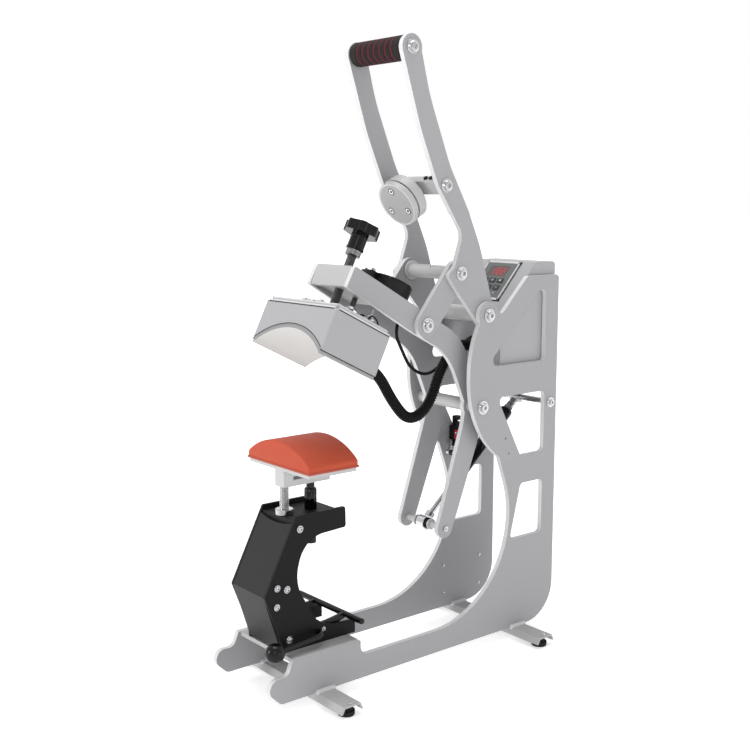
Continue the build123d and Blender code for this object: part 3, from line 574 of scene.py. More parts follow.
def block_into(bm, centre, axes, sizes, bevel=0.0):
    """Adds a block on any three axes, with its edges bevelled."""
    made = bmesh.ops.create_cube(bm, size=1.0)
    turn = Matrix(axes).transposed()
    for vert in made["verts"]:
        local = Vector([c * s for c, s in zip(vert.co, sizes)])
        vert.co = Vector(centre) + turn @ local
    if bevel > 0:
        edges = list({e for v in made["verts"] for e in v.link_edges})
        bmesh.ops.bevel(bm, geom=edges, offset=bevel, segments=2, affect="EDGES", profile=0.6)


def blocks(name, axes, parts, finish_name, body):
    """Piece made of blocks on the same axes; each part is (centre, sizes) or (centre, sizes, bevel)."""
    bm = bmesh.new()
    for part in parts:
        block_into(bm, part[0], axes, *part[1:])
    return settle(bm, name, finish_name, body)


# ------------------------------------------------------------------ geometry nodes
def fastener_tree():
    """One head on every point, turned so that it faces along the point's own direction."""
    tree, start, end = new_group(
        "fasteners_on_points", "GeometryNodeTree",
        [("Spots", "Geometry", None), ("Head", "Object", None), ("Size", "Float", 1.0), ("Finish", "Material", None)],
        [("Fasteners", "Geometry")])
    head = new_node(tree, "GeometryNodeObjectInfo", (-450, -150))
    facing = new_node(tree, "GeometryNodeInputNamedAttribute", (-450, -350), data_type="FLOAT_VECTOR")
    set_inputs(facing, {"Name": "facing"})
    align = new_node(tree, "FunctionNodeAlignRotationToVector", (-200, -300), axis="Z")
    put = new_node(tree, "GeometryNodeInstanceOnPoints", (50, 0))
    real = new_node(tree, "GeometryNodeRealizeInstances", (270, 0))
    dress = new_node(tree, "GeometryNodeSetMaterial", (480, 0))
    join_nodes(tree, (start, "Head", head, "Object"), (facing, "Attribute", align, "Vector"),
               (start, "Spots", put, "Points"), (head, "Geometry", put, "Instance"),
               (align, "Rotation", put, "Rotation"), (start, "Size", put, "Scale"),
               (put, "Instances", real, "Geometry"), (real, "Geometry", dress, "Geometry"),
               (start, "Finish", dress, "Material"), (dress, "Geometry", end, "Fasteners"))
    return tree


def ribbed_tube_tree():
    """A tube along a path whose wall rises in even ribs."""
    tree, start, end = new_group(
        "ribbed_tube", "GeometryNodeTree",
        [("Path", "Geometry", None), ("Radius", "Float", 0.008), ("Pitch", "Float", 0.004),
         ("Rib Depth", "Float", 0.12), ("Step", "Float", 0.0006), ("Finish", "Material", None)],
        [("Tube", "Geometry")])
    curve = new_node(tree, "GeometryNodeMeshToCurve", (-700, 150))
    even = new_node(tree, "GeometryNodeResampleCurve", (-500, 150), mode="LENGTH")
    along = new_node(tree, "GeometryNodeSplineParameter", (-700, -150))
    turns = math_node(tree, "DIVIDE", along.outputs["Length"], start.outputs["Pitch"], (-500, -150))
    angle = math_node(tree, "MULTIPLY", turns, 2 * math.pi, (-350, -150))
    wave = math_node(tree, "SINE", angle, None, (-200, -150))
    deep = math_node(tree, "MULTIPLY", wave, start.outputs["Rib Depth"], (-50, -150))
    size = math_node(tree, "ADD", deep, 1.0, (100, -150))
    ring = new_node(tree, "GeometryNodeCurvePrimitiveCircle", (100, -350))
    set_inputs(ring, {"Resolution": 24})
    tube = new_node(tree, "GeometryNodeCurveToMesh", (320, 100))
    set_inputs(tube, {"Fill Caps": True})
    smooth = new_node(tree, "GeometryNodeSetShadeSmooth", (500, 100))
    dress = new_node(tree, "GeometryNodeSetMaterial", (700, 100))
    join(tree, size, tube.inputs["Scale"])
    join_nodes(tree, (start, "Path", curve, "Mesh"), (curve, "Curve", even, "Curve"), (start, "Step", even, "Length"),
               (even, "Curve", tube, "Curve"), (start, "Radius", ring, "Radius"),
               (ring, "Curve", tube, "Profile Curve"), (tube, "Mesh", smooth, "Geometry"),
               (smooth, "Geometry", dress, "Geometry"), (start, "Finish", dress, "Material"),
               (dress, "Geometry", end, "Tube"))
    return tree


def thread_tree():
    """A screw thread: a spiral ridge round the axis of Z."""
    tree, start, end = new_group(
        "screw_thread", "GeometryNodeTree",
        [("Core", "Geometry", None), ("Radius", "Float", 0.006), ("Turns", "Float", 10.0), ("Length", "Float", 0.02),
         ("Ridge", "Float", 0.0006), ("Finish", "Material", None)], [("Thread", "Geometry")])
    spiral = new_node(tree, "GeometryNodeCurveSpiral", (-450, 100))
    set_inputs(spiral, {"Resolution": 24})
    ridge = new_node(tree, "GeometryNodeCurvePrimitiveCircle", (-450, -200))
    set_inputs(ridge, {"Resolution": 4})
    sweep = new_node(tree, "GeometryNodeCurveToMesh", (-200, 0))
    set_inputs(sweep, {"Fill Caps": True})
    both = new_node(tree, "GeometryNodeJoinGeometry", (50, 0))
    dress = new_node(tree, "GeometryNodeSetMaterial", (270, 0))
    join_nodes(tree, (start, "Turns", spiral, "Rotations"), (start, "Radius", spiral, "Start Radius"),
               (start, "Radius", spiral, "End Radius"), (start, "Length", spiral, "Height"),
               (start, "Ridge", ridge, "Radius"), (spiral, "Curve", sweep, "Curve"),
               (ridge, "Curve", sweep, "Profile Curve"), (sweep, "Mesh", both, "Geometry"),
               (start, "Core", both, "Geometry"), (both, "Geometry", dress, "Geometry"),
               (start, "Finish", dress, "Material"), (dress, "Geometry", end, "Thread"))
    return tree


GEOMETRY_TREES = {"fasteners_on_points": fastener_tree, "ribbed_tube": ribbed_tube_tree, "screw_thread": thread_tree}


def plain_mesh(holder):
    """Mesh of an object with its modifiers or its bevel worked in; the object is removed."""
    bpy.context.view_layer.update()
    mesh = bpy.data.meshes.new_from_object(holder.evaluated_get(bpy.context.evaluated_depsgraph_get()))
    bpy.data.objects.remove(holder)
    return mesh


def grow(name, host_mesh, tree_name, values, body, place=None):
    """Runs a node tree on a host mesh and keeps the result as a plain mesh on a body."""
    tree = bpy.data.node_groups.get(tree_name) or GEOMETRY_TREES[tree_name]()
    host = add_piece(name + "_host", host_mesh, None)
    modifier = host.modifiers.new("grow", "NODES")
    modifier.node_group = tree
    for item in tree.interface.items_tree:
        if item.in_out == "INPUT" and item.name in values:
            modifier[item.identifier] = values[item.name]
    mesh = plain_mesh(host)
    mesh.name = name
    if place is not None:
        mesh.transform(place)
    return add_piece(name, mesh, body)


def fasteners(name, head_bm, spots, finish_name, body):
    """Like fasteners on many spots; each spot is (point, direction)."""
    head = settle(head_bm, name + "_head", finish_name, None)
    mesh = bpy.data.meshes.new(name + "_spots")
    mesh.from_pydata([p for p, _ in spots], [], [])
    facing = mesh.attributes.new("facing", "FLOAT_VECTOR", "POINT")
    for k, (_, direction) in enumerate(spots):
        facing.data[k].vector = Vector(direction).normalized()
    piece = grow(name, mesh, "fasteners_on_points", {"Head": head, "Finish": finish(finish_name)}, body)
    bpy.data.objects.remove(head)
    return piece


def smooth_line(name, points, steps, radius=0.0):
    """Smooth line through control points, read back as a mesh; a radius gives it a round, closed wall."""
    curve = bpy.data.curves.new(name, "CURVE")
    curve.dimensions = "3D"
    spline = curve.splines.new("NURBS")
    spline.points.add(len(points) - 1)
    for point, place in zip(spline.points, points):
        point.co = (*place, 1.0)
    spline.order_u = 3
    spline.use_endpoint_u = True
    spline.resolution_u = steps
    if radius > 0:
        curve.bevel_depth = radius
        curve.bevel_resolution = 2
        curve.use_fill_caps = True
    return plain_mesh(add_piece(name, curve, None))


def cord_line(route):
    """Edges of a cord's line, its length, and the points along it."""
    path = smooth_line("route", route, 24)
    places = [v.co.copy() for v in path.vertices]
    return path, sum((b - a).length for a, b in zip(places, places[1:])), places


# ------------------------------------------------------------------ cords
HOSE_ROUTE = [mm(26, -96.40, 474.76), mm(26, -58.81, 456.02), mm(18, -19, 400), mm(16, 14, 368), mm(13, 56, 384),
              mm(12, 82, 444), mm(9, 116, 474), mm(9, 148, 474)]
CABLE_ROUTE = [mm(-6, 14.45, 526.76), mm(-6, 2.85, 503.49), mm(-7, 19, 474), mm(-9, 38, 443), mm(-12, 76, 428),
               mm(-14, 112, 446), mm(-16, 128, 472), mm(-16, 148, 472)]


SLEEVE_STEPS = ((0.25, 1.75), (0.3, 1.45), (0.45, 1.6), (0.5, 1.32), (0.65, 1.42), (0.72, 1.2), (0.97, 1.12),
                (1.0, 1.02))


def tapered_sleeve(name, tip, back, radius, reach):
    """Short rubber sleeve that narrows onto a cord; the steps are shares of its reach and its radius."""
    profile = [(0.0, radius * 1.9), (0.0012, radius * 2.0)]
    profile += [(reach * along, radius * wide) for along, wide in SLEEVE_STEPS]
    return turned(name, [(32, profile)], tip, back, "moulded_black", "base", 50)


class HEATPRESS_OT_hose(bpy.types.Operator):
    """Corrugated hose with the heater's wires, from the control box down to the head"""
    bl_idname = "heat_press.hose"
    bl_label = "Corrugated hose"

    def execute(self, context):
        sizes = context.scene.heat_press_sizes
        path, reach, places = cord_line(HOSE_ROUTE)
        radius = sizes.hose_diameter / 2
        hose = grow("ribbed_hose", path, "ribbed_tube",
                    {"Radius": radius * 0.93, "Pitch": sizes.hose_pitch, "Rib Depth": 0.075, "Step": 0.0006,
                     "Finish": finish("hose_black")}, None)
        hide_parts("corrugated_hose")
        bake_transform(hose)
        sleeve = tapered_sleeve("hose_sleeve", HOSE_ROUTE[-1] + mm(0, 0.3, 0), (0, -1, 0), radius * 0.62, 0.020)
        return {"FINISHED"}


class HEATPRESS_OT_cable(bpy.types.Operator):
    """Round cable of the holding magnet, from the control box to the head arm"""
    bl_idname = "heat_press.cable"
    bl_label = "Magnet cable"

    def execute(self, context):
        sizes = context.scene.heat_press_sizes
        path, reach, places = cord_line(CABLE_ROUTE)
        radius = sizes.cable_diameter / 2
        cable = grow("round_cable", path, "ribbed_tube",
                     {"Radius": radius, "Pitch": 0.05, "Rib Depth": 0.0, "Step": 0.0015,
                      "Finish": finish("cable_black")}, None)
        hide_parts("magnet_cable")
        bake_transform(cable)
        sleeve = tapered_sleeve("cable_sleeve", CABLE_ROUTE[-1] + mm(0, 0.3, 0), (0, -1, 0), radius * 1.05, 0.016)
        return {"FINISHED"}


# ------------------------------------------------------------------ finishes of the solids
NODE_FINISHES = {
    "plate_coat": ("right_frame_plate", "left_frame_plate", "right_arm_plate", "left_arm_plate",
                   "right_handle_plate", "left_handle_plate", "right_link", "left_link"),
    "beam_coat": ("frame_deck_plate", "beam_top_plate", "beam_guide_plate", "armature_bar", "head_top_plate"),
    "foot_coat": ("front_foot_bar", "rear_foot_bar"),
    "sheet_coat": ("heater_cover",),
    "box_coat": ("control_box_shell",),
    "platen_coat": ("heater_platen",),
    "board": ("insulation_block",),
    "stand_coat": ("stand_right_side", "stand_left_side", "stand_deck_plate"),
    "stand_front_coat": ("stand_front_panel",),
    "pad_silicone": ("silicone_pad",),
    "foot_rubber": ("rubber_feet",),
    "chrome": ("frame_pivot_bolts", "handle_bolts", "link_pins", "gas_spring_rear_pin", "gas_spring_rod"),
    "zinc": ("stand_screws", "head_screws", "limit_switch_lever"),
    "shaft_coat": ("main_pivot_shaft", "handle_pivot_shaft", "link_shaft", "gas_spring_lower_pin"),
    "disc_coat": ("armature_disc",),
    "shaft_steel": ("grip_rod", "screw_thrust_cup"),
    "dark_thread": ("guide_post", "pressure_screw"),
    "post_steel": ("front_post",),
    "black_oxide": ("rear_post", "hold_down_bar", "hold_down_lever"),
    "carrier_coat": ("pad_base_plate", "pad_carrier_block"),
    "gloss_black": ("lever_ball_knob", "pressure_knob", "gas_spring_cylinder"),
    "moulded_black": ("box_glands", "power_inlet", "power_switch_rocker", "electromagnet", "limit_switch_body"),
    "ringed_foam": ("foam_grip",),
    "panel_membrane": ("control_panel",),
    "hose_black": ("corrugated_hose",),
    "cable_black": ("magnet_cable",),
}


class HEATPRESS_OT_finishes(bpy.types.Operator):
    """Gives every carried-over solid its own finish"""
    bl_idname = "heat_press.finishes"
    bl_label = "Finishes of the solids"

    def execute(self, context):
        for finish_name, names in NODE_FINISHES.items():
            for name in names:
                mesh = NODES[name].data
                mesh.materials.clear()
                mesh.materials.append(finish(finish_name))
        return {"FINISHED"}


# ------------------------------------------------------------------ small parts


def tube_along(name, points, radius, finish_name, body):
    """Round wire along smooth points."""
    mesh = smooth_line(name + "_line", points, 8, radius)
    bm = bmesh.new()
    bm.from_mesh(mesh)
    bpy.data.meshes.remove(mesh)
    return settle(bm, name, finish_name, body, 60)


def head_wires(wires, lift, body):
    """Wires whose points are given on the closed head, above a height; each is (name, finish, radius, points)."""
    for name, finish_name, radius, points in wires:
        tube_along(name, [opened(x, y, lift + z) for x, y, z in points], radius, finish_name, body)


def axis_place(origin, direction):
    """Matrix that stands a Z-up mesh at a point, facing a direction."""
    turn = Vector(direction).normalized().to_track_quat("Z", "Y").to_matrix().to_4x4()
    return Matrix.Translation(origin) @ turn


def small_head(radius, height, socket):
    """Low cheese head with a round recess, standing on z = 0."""
    return upright(24, [(0, radius), (height * 0.7, radius), (height * 0.92, radius * 0.93), (height, radius * 0.82),
                        (height, socket), (height * 0.4, socket * 0.98), (height * 0.35, 0)])


def fluted_sleeve(x, y, low, high, radius, depth, ribs):
    """Upright solid sleeve with rounded ribs, capped at both ends; its lengths are in metres."""
    bm = bmesh.new()
    count = ribs * 8
    rings = []
    for z, shrink in ((low, 0.93), (low + 0.001, 1.0), (high - 0.0015, 1.0), (high, 0.9)):
        ring = []
        for k in range(count):
            a = 2 * math.pi * k / count
            r = (radius - depth * (0.5 - 0.5 * math.cos(ribs * a)) ** 1.5) * shrink
            ring.append(bm.verts.new((x + r * math.cos(a), y + r * math.sin(a), z)))
        rings.append(ring)
    for a_ring, b_ring in zip(rings, rings[1:]):
        for k in range(count):
            n = (k + 1) % count
            bm.faces.new([a_ring[k], a_ring[n], b_ring[n], b_ring[k]])
    bm.faces.new(rings[0])
    bm.faces.new(rings[-1])
    return bm


def threaded(name, origin, direction, radius, reach, pitch, ridge, finish_name, body):
    """Length of thread round a core, grown by the thread tree."""
    bm = upright(32, [(0, radius), (reach, radius)])
    mesh = bpy.data.meshes.new(name + "_core")
    bm.to_mesh(mesh)
    bm.free()
    values = {"Radius": radius, "Turns": reach / pitch, "Length": reach, "Ridge": ridge, "Finish": finish(finish_name)}
    return grow(name, mesh, "screw_thread", values, body, axis_place(origin, direction))


class HEATPRESS_OT_screw_threads(bpy.types.Operator):
    """Threads of the pressure screw and the front post"""
    bl_idname = "heat_press.screw_threads"
    bl_label = "Threads"

    def execute(self, context):
        pitch = context.scene.heat_press_sizes.thread_pitch
        threaded("pressure_thread", opened(0, SCREW_Y, 429), HEAD_UP, 0.0061, 0.079, pitch, 0.0007, "dark_thread",
                 "pressure_adjuster")
        threaded("post_thread", mm(0, -204.5, 268.2), Z_AXIS, 0.00635, 0.0325, 0.0015, 0.0004, "post_steel", "base")
        return {"FINISHED"}


class HEATPRESS_OT_rear_post_grip(bpy.types.Operator):
    """Fluted black sleeve of the rear post"""
    bl_idname = "heat_press.rear_post_grip"
    bl_label = "Rear post sleeve"

    def execute(self, context):
        bm = fluted_sleeve(0, -0.1587, 0.2602, 0.2905, 0.0092, 0.0010, 10)
        settle(bm, "rear_post_sleeve", "gloss_black", "base", 50)
        return {"FINISHED"}


class HEATPRESS_OT_knob_cap(bpy.types.Operator):
    """Rounded top, centre plug, neck ring and lock nut of the pressure knob"""
    bl_idname = "heat_press.knob_cap"
    bl_label = "Knob cap"

    def execute(self, context):
        crown = [(-0.001, 0.0232), (0.0004, 0.0228), (0.0010, 0.0200), (0.0011, 0.0120), (0.0004, 0.0105),
                 (0.0004, 0.0098), (0.0012, 0.0092), (0.0014, 0.0)]
        collar = [(0.0, 0.0128), (0.0004, 0.0134), (0.0022, 0.0134), (0.0026, 0.0128)]
        nut = [(0.0, 0.0104), (0.0008, 0.0113), (0.0040, 0.0113), (0.0044, 0.0109), (0.0048, 0.0113), (0.0082, 0.0113),
               (0.0090, 0.0106)]
        for name, segments, profile, z, finish_name, smooth_angle in (
                ("knob_crown", 48, crown, 556, "gloss_black", 50),
                ("knob_neck_ring", 40, collar, 517.3, "gloss_black", 50),
                ("knob_lock_nut", 36, nut, 508, "dull_zinc", 40)):
            turned(name, [(segments, profile)], opened(0, SCREW_Y, z), HEAD_UP, finish_name, "pressure_adjuster",
                   smooth_angle)
        return {"FINISHED"}


class HEATPRESS_OT_disc_screws(bpy.types.Operator):
    """Countersunk screws and turned lip of the armature disc, and the screws of its bar"""
    bl_idname = "heat_press.disc_screws"
    bl_label = "Armature disc screws"

    def execute(self, context):
        centre = mm(0, *DISC_FACE)
        up = Vector((0, math.sin(DISC_ANGLE), -math.cos(DISC_ANGLE)))
        spots = []
        for turn in (90, 210, 330):
            a = math.radians(turn)
            spots.append((centre + (X_AXIS * math.cos(a) + up * math.sin(a)) * 0.0215, DISC_OUT))
        head = upright(28, [(-0.001, 0.0042), (0.0003, 0.0042), (0.00045, 0.0038), (0.0004, 0.0023),
                            (-0.0014, 0.0022), (-0.0016, 0)])
        fasteners("disc_screw_heads", head, spots, "chrome", "handle")
        # black rings round the disc screws: painted shade in their countersinks
        painted_shade_well = upright(28, [(-0.0005, 0.0056), (0.00012, 0.0056), (0.00012, 0.0041), (-0.0005, 0.0041)],
                       ring_only=True)
        lathe_into(painted_shade_well, [(-0.0005, 0.0022), (0.00012, 0.0022)], (0, 0, 0), Z_AXIS, 24)
        fasteners("disc_screw_wells", painted_shade_well, spots, "black_oxide", "handle")
        back = [(centre - DISC_OUT * 0.045 + up * 0.017 + X_AXIS * x, up) for x in (0.030, 0.041)]
        fasteners("armature_bar_screws", small_head(0.0034, 0.0032, 0.0018), back, "black_oxide", "handle")
        rim = [(0.0, 0.0343), (0.00025, 0.0340), (0.00025, 0.0325), (0.0, 0.0322), (-0.001, 0.0322), (-0.001, 0.0343)]
        turned("disc_lip", [(72, rim)], centre, DISC_OUT, "bezel_coat", "handle", 50, ring_only=True)
        return {"FINISHED"}


class HEATPRESS_OT_shaft_screws(bpy.types.Operator):
    """Set screw and end rings of the link shaft"""
    bl_idname = "heat_press.shaft_screws"
    bl_label = "Shaft screws and rings"

    def execute(self, context):
        away = Vector((0, -0.55, 0.835)).normalized()
        head = upright(24, [(-0.001, 0.0030), (0.0006, 0.0030), (0.0008, 0.0026), (0.0008, 0.0016), (-0.0004, 0.0015),
                            (-0.0005, 0)])
        fasteners("link_shaft_screw", head, [(mm(3, *LINK_TOP) + away * 0.0105, away)], "chrome", "handle")
        ring = [(0.0, 0.0145), (0.0006, 0.0150), (0.0030, 0.0150), (0.0036, 0.0145)]
        rings = bmesh.new()
        for side in (-1, 1):
            lathe_into(rings, ring, mm(side * 44.0, *LINK_TOP), (side, 0, 0), 40)
        settle(rings, "link_shaft_rings", "shaft_coat", "handle", 50)
        return {"FINISHED"}


def spring_place(distance):
    """Point on the gas spring's line, measured from its rear eye."""
    low = mm(0, *SPRING_LOW)
    rear = mm(0, *SPRING_REAR)
    return rear + (low - rear).normalized() * distance * MM


class HEATPRESS_OT_gas_spring_ends(bpy.types.Operator):
    """Black tube and caps of the gas spring, its plated fittings, and the screws and rings of its pin"""
    bl_idname = "heat_press.gas_spring_ends"
    bl_label = "Gas spring parts"

    def execute(self, context):
        down = (spring_place(10) - spring_place(0)).normalized()
        reach = (mm(0, *SPRING_LOW) - mm(0, *SPRING_REAR)).length / MM
        shell = [(0.0, 0.010), (0.1500, 0.010), (0.1545, 0.0092), (0.1545, 0.0052), (0.1470, 0.0052),
                 (0.1470, 0.0087), (0.0, 0.0087)]
        tube = turned("gas_spring_tube", [(40, shell)], spring_place(40), down, "gloss_black", "gas_cylinder", 40,
                      ring_only=True)
        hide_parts("gas_spring_cylinder")
        fitting = bmesh.new()
        lathe_into(fitting, [(-0.0080, 0.0056), (-0.0080, 0.0094), (-0.0074, 0.0100), (0.0074, 0.0100),
                             (0.0080, 0.0094), (0.0080, 0.0056)], mm(0, *SPRING_REAR), X_AXIS, 40, ring_only=True)
        lathe_into(fitting, [(0.0, 0.0064), (0.0075, 0.0064), (0.0080, 0.0058), (0.0088, 0.0058), (0.0092, 0.0068),
                             (0.0210, 0.0068), (0.0222, 0.0060)], spring_place(8.2), down, 32)
        lathe_into(fitting, [(0.0, 0.0076), (0.0006, 0.0081), (0.0050, 0.0081), (0.0056, 0.0076)], spring_place(24.8),
                   down, 6)
        settle(fitting, "gas_spring_fitting", "post_steel", "gas_cylinder", 30)
        cap = [(0.0, 0.0088), (0.0012, 0.0102), (0.004, 0.0108), (0.025, 0.0108), (0.027, 0.01015),
               (0.027, 0.0100), (0.010, 0.0100), (0.0098, 0.0088), (0.0015, 0.0088), (0.0015, 0.0)]
        turned("gas_spring_cap", [(40, cap)], spring_place(30.4), down, "gloss_black", "gas_cylinder", 40)
        seal = [(0.0, 0.01005), (0.0006, 0.0104), (0.0038, 0.0104), (0.0043, 0.0096), (0.0043, 0.0054), (0.0, 0.0054)]
        turned("gas_spring_seal_cap", [(40, seal)], spring_place(190.4), down, "gloss_black", "gas_cylinder", 40,
               ring_only=True)
        foot = [(0.0, 0.0060), (0.0006, 0.0077), (0.0070, 0.0077), (0.0078, 0.0070)]
        turned("gas_spring_foot", [(6, foot)], spring_place(reach - 19.0), down, "chrome", "gas_rod", 20)
        ends = [(mm(side * 47.5, *SPRING_LOW), (side, 0, 0)) for side in (-1, 1)]
        fasteners("arm_pin_screws", small_head(0.0046, 0.0030, 0.0022), ends, "chrome", "head_arm")
        rings = bmesh.new()
        for x in (-9.6, 8.1):
            lathe_into(rings, [(0, 0.0088), (0.0015, 0.0088)], mm(x, *SPRING_LOW), X_AXIS, 32)
        settle(rings, "gas_spring_snap_rings", "black_oxide", "gas_rod", 40)
        return {"FINISHED"}


class HEATPRESS_OT_limit_switch_parts(bpy.types.Operator):
    """Red cover, terminal screws and dark roller tyre of the limit switch"""
    bl_idname = "heat_press.limit_switch_parts"
    bl_label = "Limit switch parts"

    def execute(self, context):
        blocks("switch_cover", WORLD_AXES, [(mm(-46.2, 182.5, 317.2), (0.0108, 0.0222, 0.0158), 0.0010),
                                            (mm(-43.3, 182.5, 302.4), (0.0050, 0.0222, 0.0136), 0.0010)],
               "switch_red", "base")
        spots = [(mm(-40.9, y, z), X_AXIS) for y, z in ((176.5, 300.5), (188.5, 319.5))]
        spots += [(mm(-45.0, 183.5, z), X_AXIS) for z in (333.2, 342.6)]
        spots += [(mm(-46.5, 171.4, 320.0), (0, -1, 0))]
        fasteners("switch_screws", small_head(0.0021, 0.0014, 0.0010), spots, "chrome", "base")
        tyre = [(-0.0029, 0.0040), (-0.0029, 0.0045), (-0.0022, 0.0049), (0.0022, 0.0049), (0.0029, 0.0045),
                (0.0029, 0.0040)]
        turned("switch_roller_tyre", [(32, tyre)], mm(-49.0, 165.5, 287.0), X_AXIS, "moulded_black", "limit_lever", 40,
               ring_only=True)
        return {"FINISHED"}


class HEATPRESS_OT_head_terminals(bpy.types.Operator):
    """Terminals, earth stud, wires, lips with a painted highlight, painted shadow seams and guide nuts of the heated
    head
    """
    bl_idname = "heat_press.head_terminals"
    bl_label = "Heater terminals"

    def execute(self, context):
        strip = [(opened(-4, -196, HEAD_TOP + 1.2), (0.052, 0.014, 0.0024), 0.0006)]
        for x, wide, tall in ((-23, 0.009, 0.0066), (-8, 0.017, 0.0056), (14, 0.012, 0.0070)):
            strip.append((opened(x, -196, HEAD_TOP + 2.3 + tall * 500), (wide, 0.0115, tall), 0.0009))
        blocks("terminal_strip", HEAD_AXES, strip, "ceramic", "heated_head")
        spots = [(opened(x, -196, HEAD_TOP + z), HEAD_UP) for x, z in ((-23, 8.8), (-12, 7.8), (-4, 7.8), (14, 9.2))]
        spots += [(opened(x, y, HEAD_TOP + 0.1), HEAD_UP) for x, y in ((-64, -172), (-30, -172), (34, -198),
                                                                      (54, -198))]
        fasteners("terminal_screws", small_head(0.0030, 0.0018, 0.0013), spots, "dull_zinc", "heated_head")
        self.cover_painted_shadow_strip()
        self.lid_lips()
        nuts = [(32, [(0, 0.0088), (0.0012, 0.0088)]), (32, [(0.0160, 0.0095), (0.0172, 0.0095)]),
                (6, [(0.0012, 0.0066), (0.0064, 0.0066), (0.0070, 0.0058)]),
                (6, [(0.0172, 0.0062), (0.0208, 0.0062), (0.0214, 0.0055)])]
        turned("guide_post_nuts", nuts, opened(0, -133, HEAD_TOP + 5.0), HEAD_UP, "zinc", "heated_head", 30)
        stud = [(32, [(0, 0.0075), (0.0015, 0.0075), (0.0018, 0.007)]),
                (6, [(0.0018, 0.0058), (0.0062, 0.0058), (0.0068, 0.005)]),
                (20, [(0.0068, 0.0028), (0.0270, 0.0028), (0.0275, 0.0022)]),
                (28, [(0.0120, 0.0082), (0.0133, 0.0082)]), (6, [(0.0133, 0.0056), (0.0172, 0.0056)])]
        turned("earth_stud", stud, opened(44, -130, HEAD_TOP + 0.1), HEAD_UP, "dull_zinc", "heated_head")
        head_wires((
            ("heater_wire_black", "cable_black", 0.0012,
             ((41, -133, 12.4), (33, -139, 17), (24, -130, 12), (20, -121, 1.4))),
            ("heater_wire_loop", "cable_black", 0.0012,
             ((48, -134, 12.4), (58, -140, 16), (64, -129, 11), (60, -121, 1.4))),
            ("heater_wire_white", "enamel_wire", 0.0010,
             ((17, -191, 7), (26, -180, 11), (27, -150, 5), (20, -124, 1.2)))), HEAD_TOP, "heated_head")
        return {"FINISHED"}

    def lid_lips(self):
        """Painted shadow strips under the top plate, and its low upturned lips, whose lighter finish paints a
        highlight along its edges.
        """
        painted_shadow = []
        lips = []
        inward = 1.0 - 0.8 / 78.0
        for x, y, wide, deep in ((0, -214, 0.1562, 0.0012), (0, -118, 0.1562, 0.0012), (-78, -166, 0.0012, 0.0972),
                                 (78, -166, 0.0012, 0.0972)):
            painted_shadow.append((opened(x, y, 411.5), (wide, deep, 0.0012)))
            lips.append((opened(x * inward, HEAD_MID_Y + (y - HEAD_MID_Y) * 0.985, HEAD_TOP + 1.2),
                         (wide - 0.0006, deep + 0.0003, 0.0030), 0.0004))
        for turn in (-1, 1):
            lips.append((opened(0, HEAD_MID_Y + turn * 51.0, 412.2), (0.1560, 0.0020, 0.0026), 0.0004))
            lips.append((opened(turn * 83.0, HEAD_MID_Y, 412.2), (0.0020, 0.0970, 0.0026), 0.0004))
            painted_shadow.append((opened(0, HEAD_MID_Y + turn * 52.05, 410.0), (0.1550, 0.0006, 0.0013)))
            painted_shadow.append((opened(turn * 84.05, HEAD_MID_Y, 410.0), (0.0006, 0.0960, 0.0013)))
        # near-black strips paint the shadow under the plate, and the lighter lips paint a highlight on its edges
        blocks("top_plate_joint", HEAD_AXES, painted_shadow, "gasket", "heated_head")
        blocks("top_plate_lips", HEAD_AXES, lips, "bezel_coat", "heated_head")

    def cover_painted_shadow_strip(self):
        """Painted shadow: near-black strips between the cover and the platen, along both sides and both arches, where
        the cover's overhang leaves shade.
        """
        sides = [(opened(side * 81.7, HEAD_MID_Y, 351.0), (0.0034, 0.1030, 0.0012)) for side in (-1, 1)]
        blocks("cover_seam", HEAD_AXES, sides, "gasket", "heated_head")
        radius = 129.6
        arch = [math.radians(90 + 38.0 * (1 - 2 * k / 24)) for k in range(25)]
        for name, y in (("front_arch_seam", -218.15), ("rear_arch_seam", -113.85)):
            points = [opened(radius * math.cos(a), y, 251.8 + radius * math.sin(a)) for a in arch]
            tube_along(name, points, 0.00045, "gasket", "heated_head")


class HEATPRESS_OT_magnet_wires(bpy.types.Operator):
    """Terminal clamp and wires beside the holding magnet, and the magnet's rim"""
    bl_idname = "heat_press.magnet_wires"
    bl_label = "Magnet clamp and wires"

    def execute(self, context):
        blocks("magnet_clamp", HEAD_AXES, [(opened(-4, -123.4, 497.0), (0.026, 0.009, 0.014), 0.0009)],
               "moulded_black", "head_arm")
        spots = [(opened(x, -123.4, 503.9), HEAD_UP) for x in (-12, 4)]
        fasteners("magnet_clamp_screws", small_head(0.0034, 0.0034, 0.0015), spots, "chrome", "head_arm")
        head_wires((
            ("magnet_wire_white", "enamel_wire", 0.0012,
             ((-14, -122, 497), (-21, -121, 501), (-27, -117, 500), (-29, -112, 492))),
            ("magnet_wire_black", "cable_black", 0.0012,
             ((7, -122, 497), (15, -121, 502), (22, -118, 500), (26, -113, 492)))), 0, "head_arm")
        rim = [(0.0, 0.0338), (0.0003, 0.0345), (0.0022, 0.0345), (0.0026, 0.0338)]
        turned("magnet_rim", [(64, rim)], opened(0, -83, 501.2), HEAD_UP, "gloss_black", "head_arm", 50)
        return {"FINISHED"}


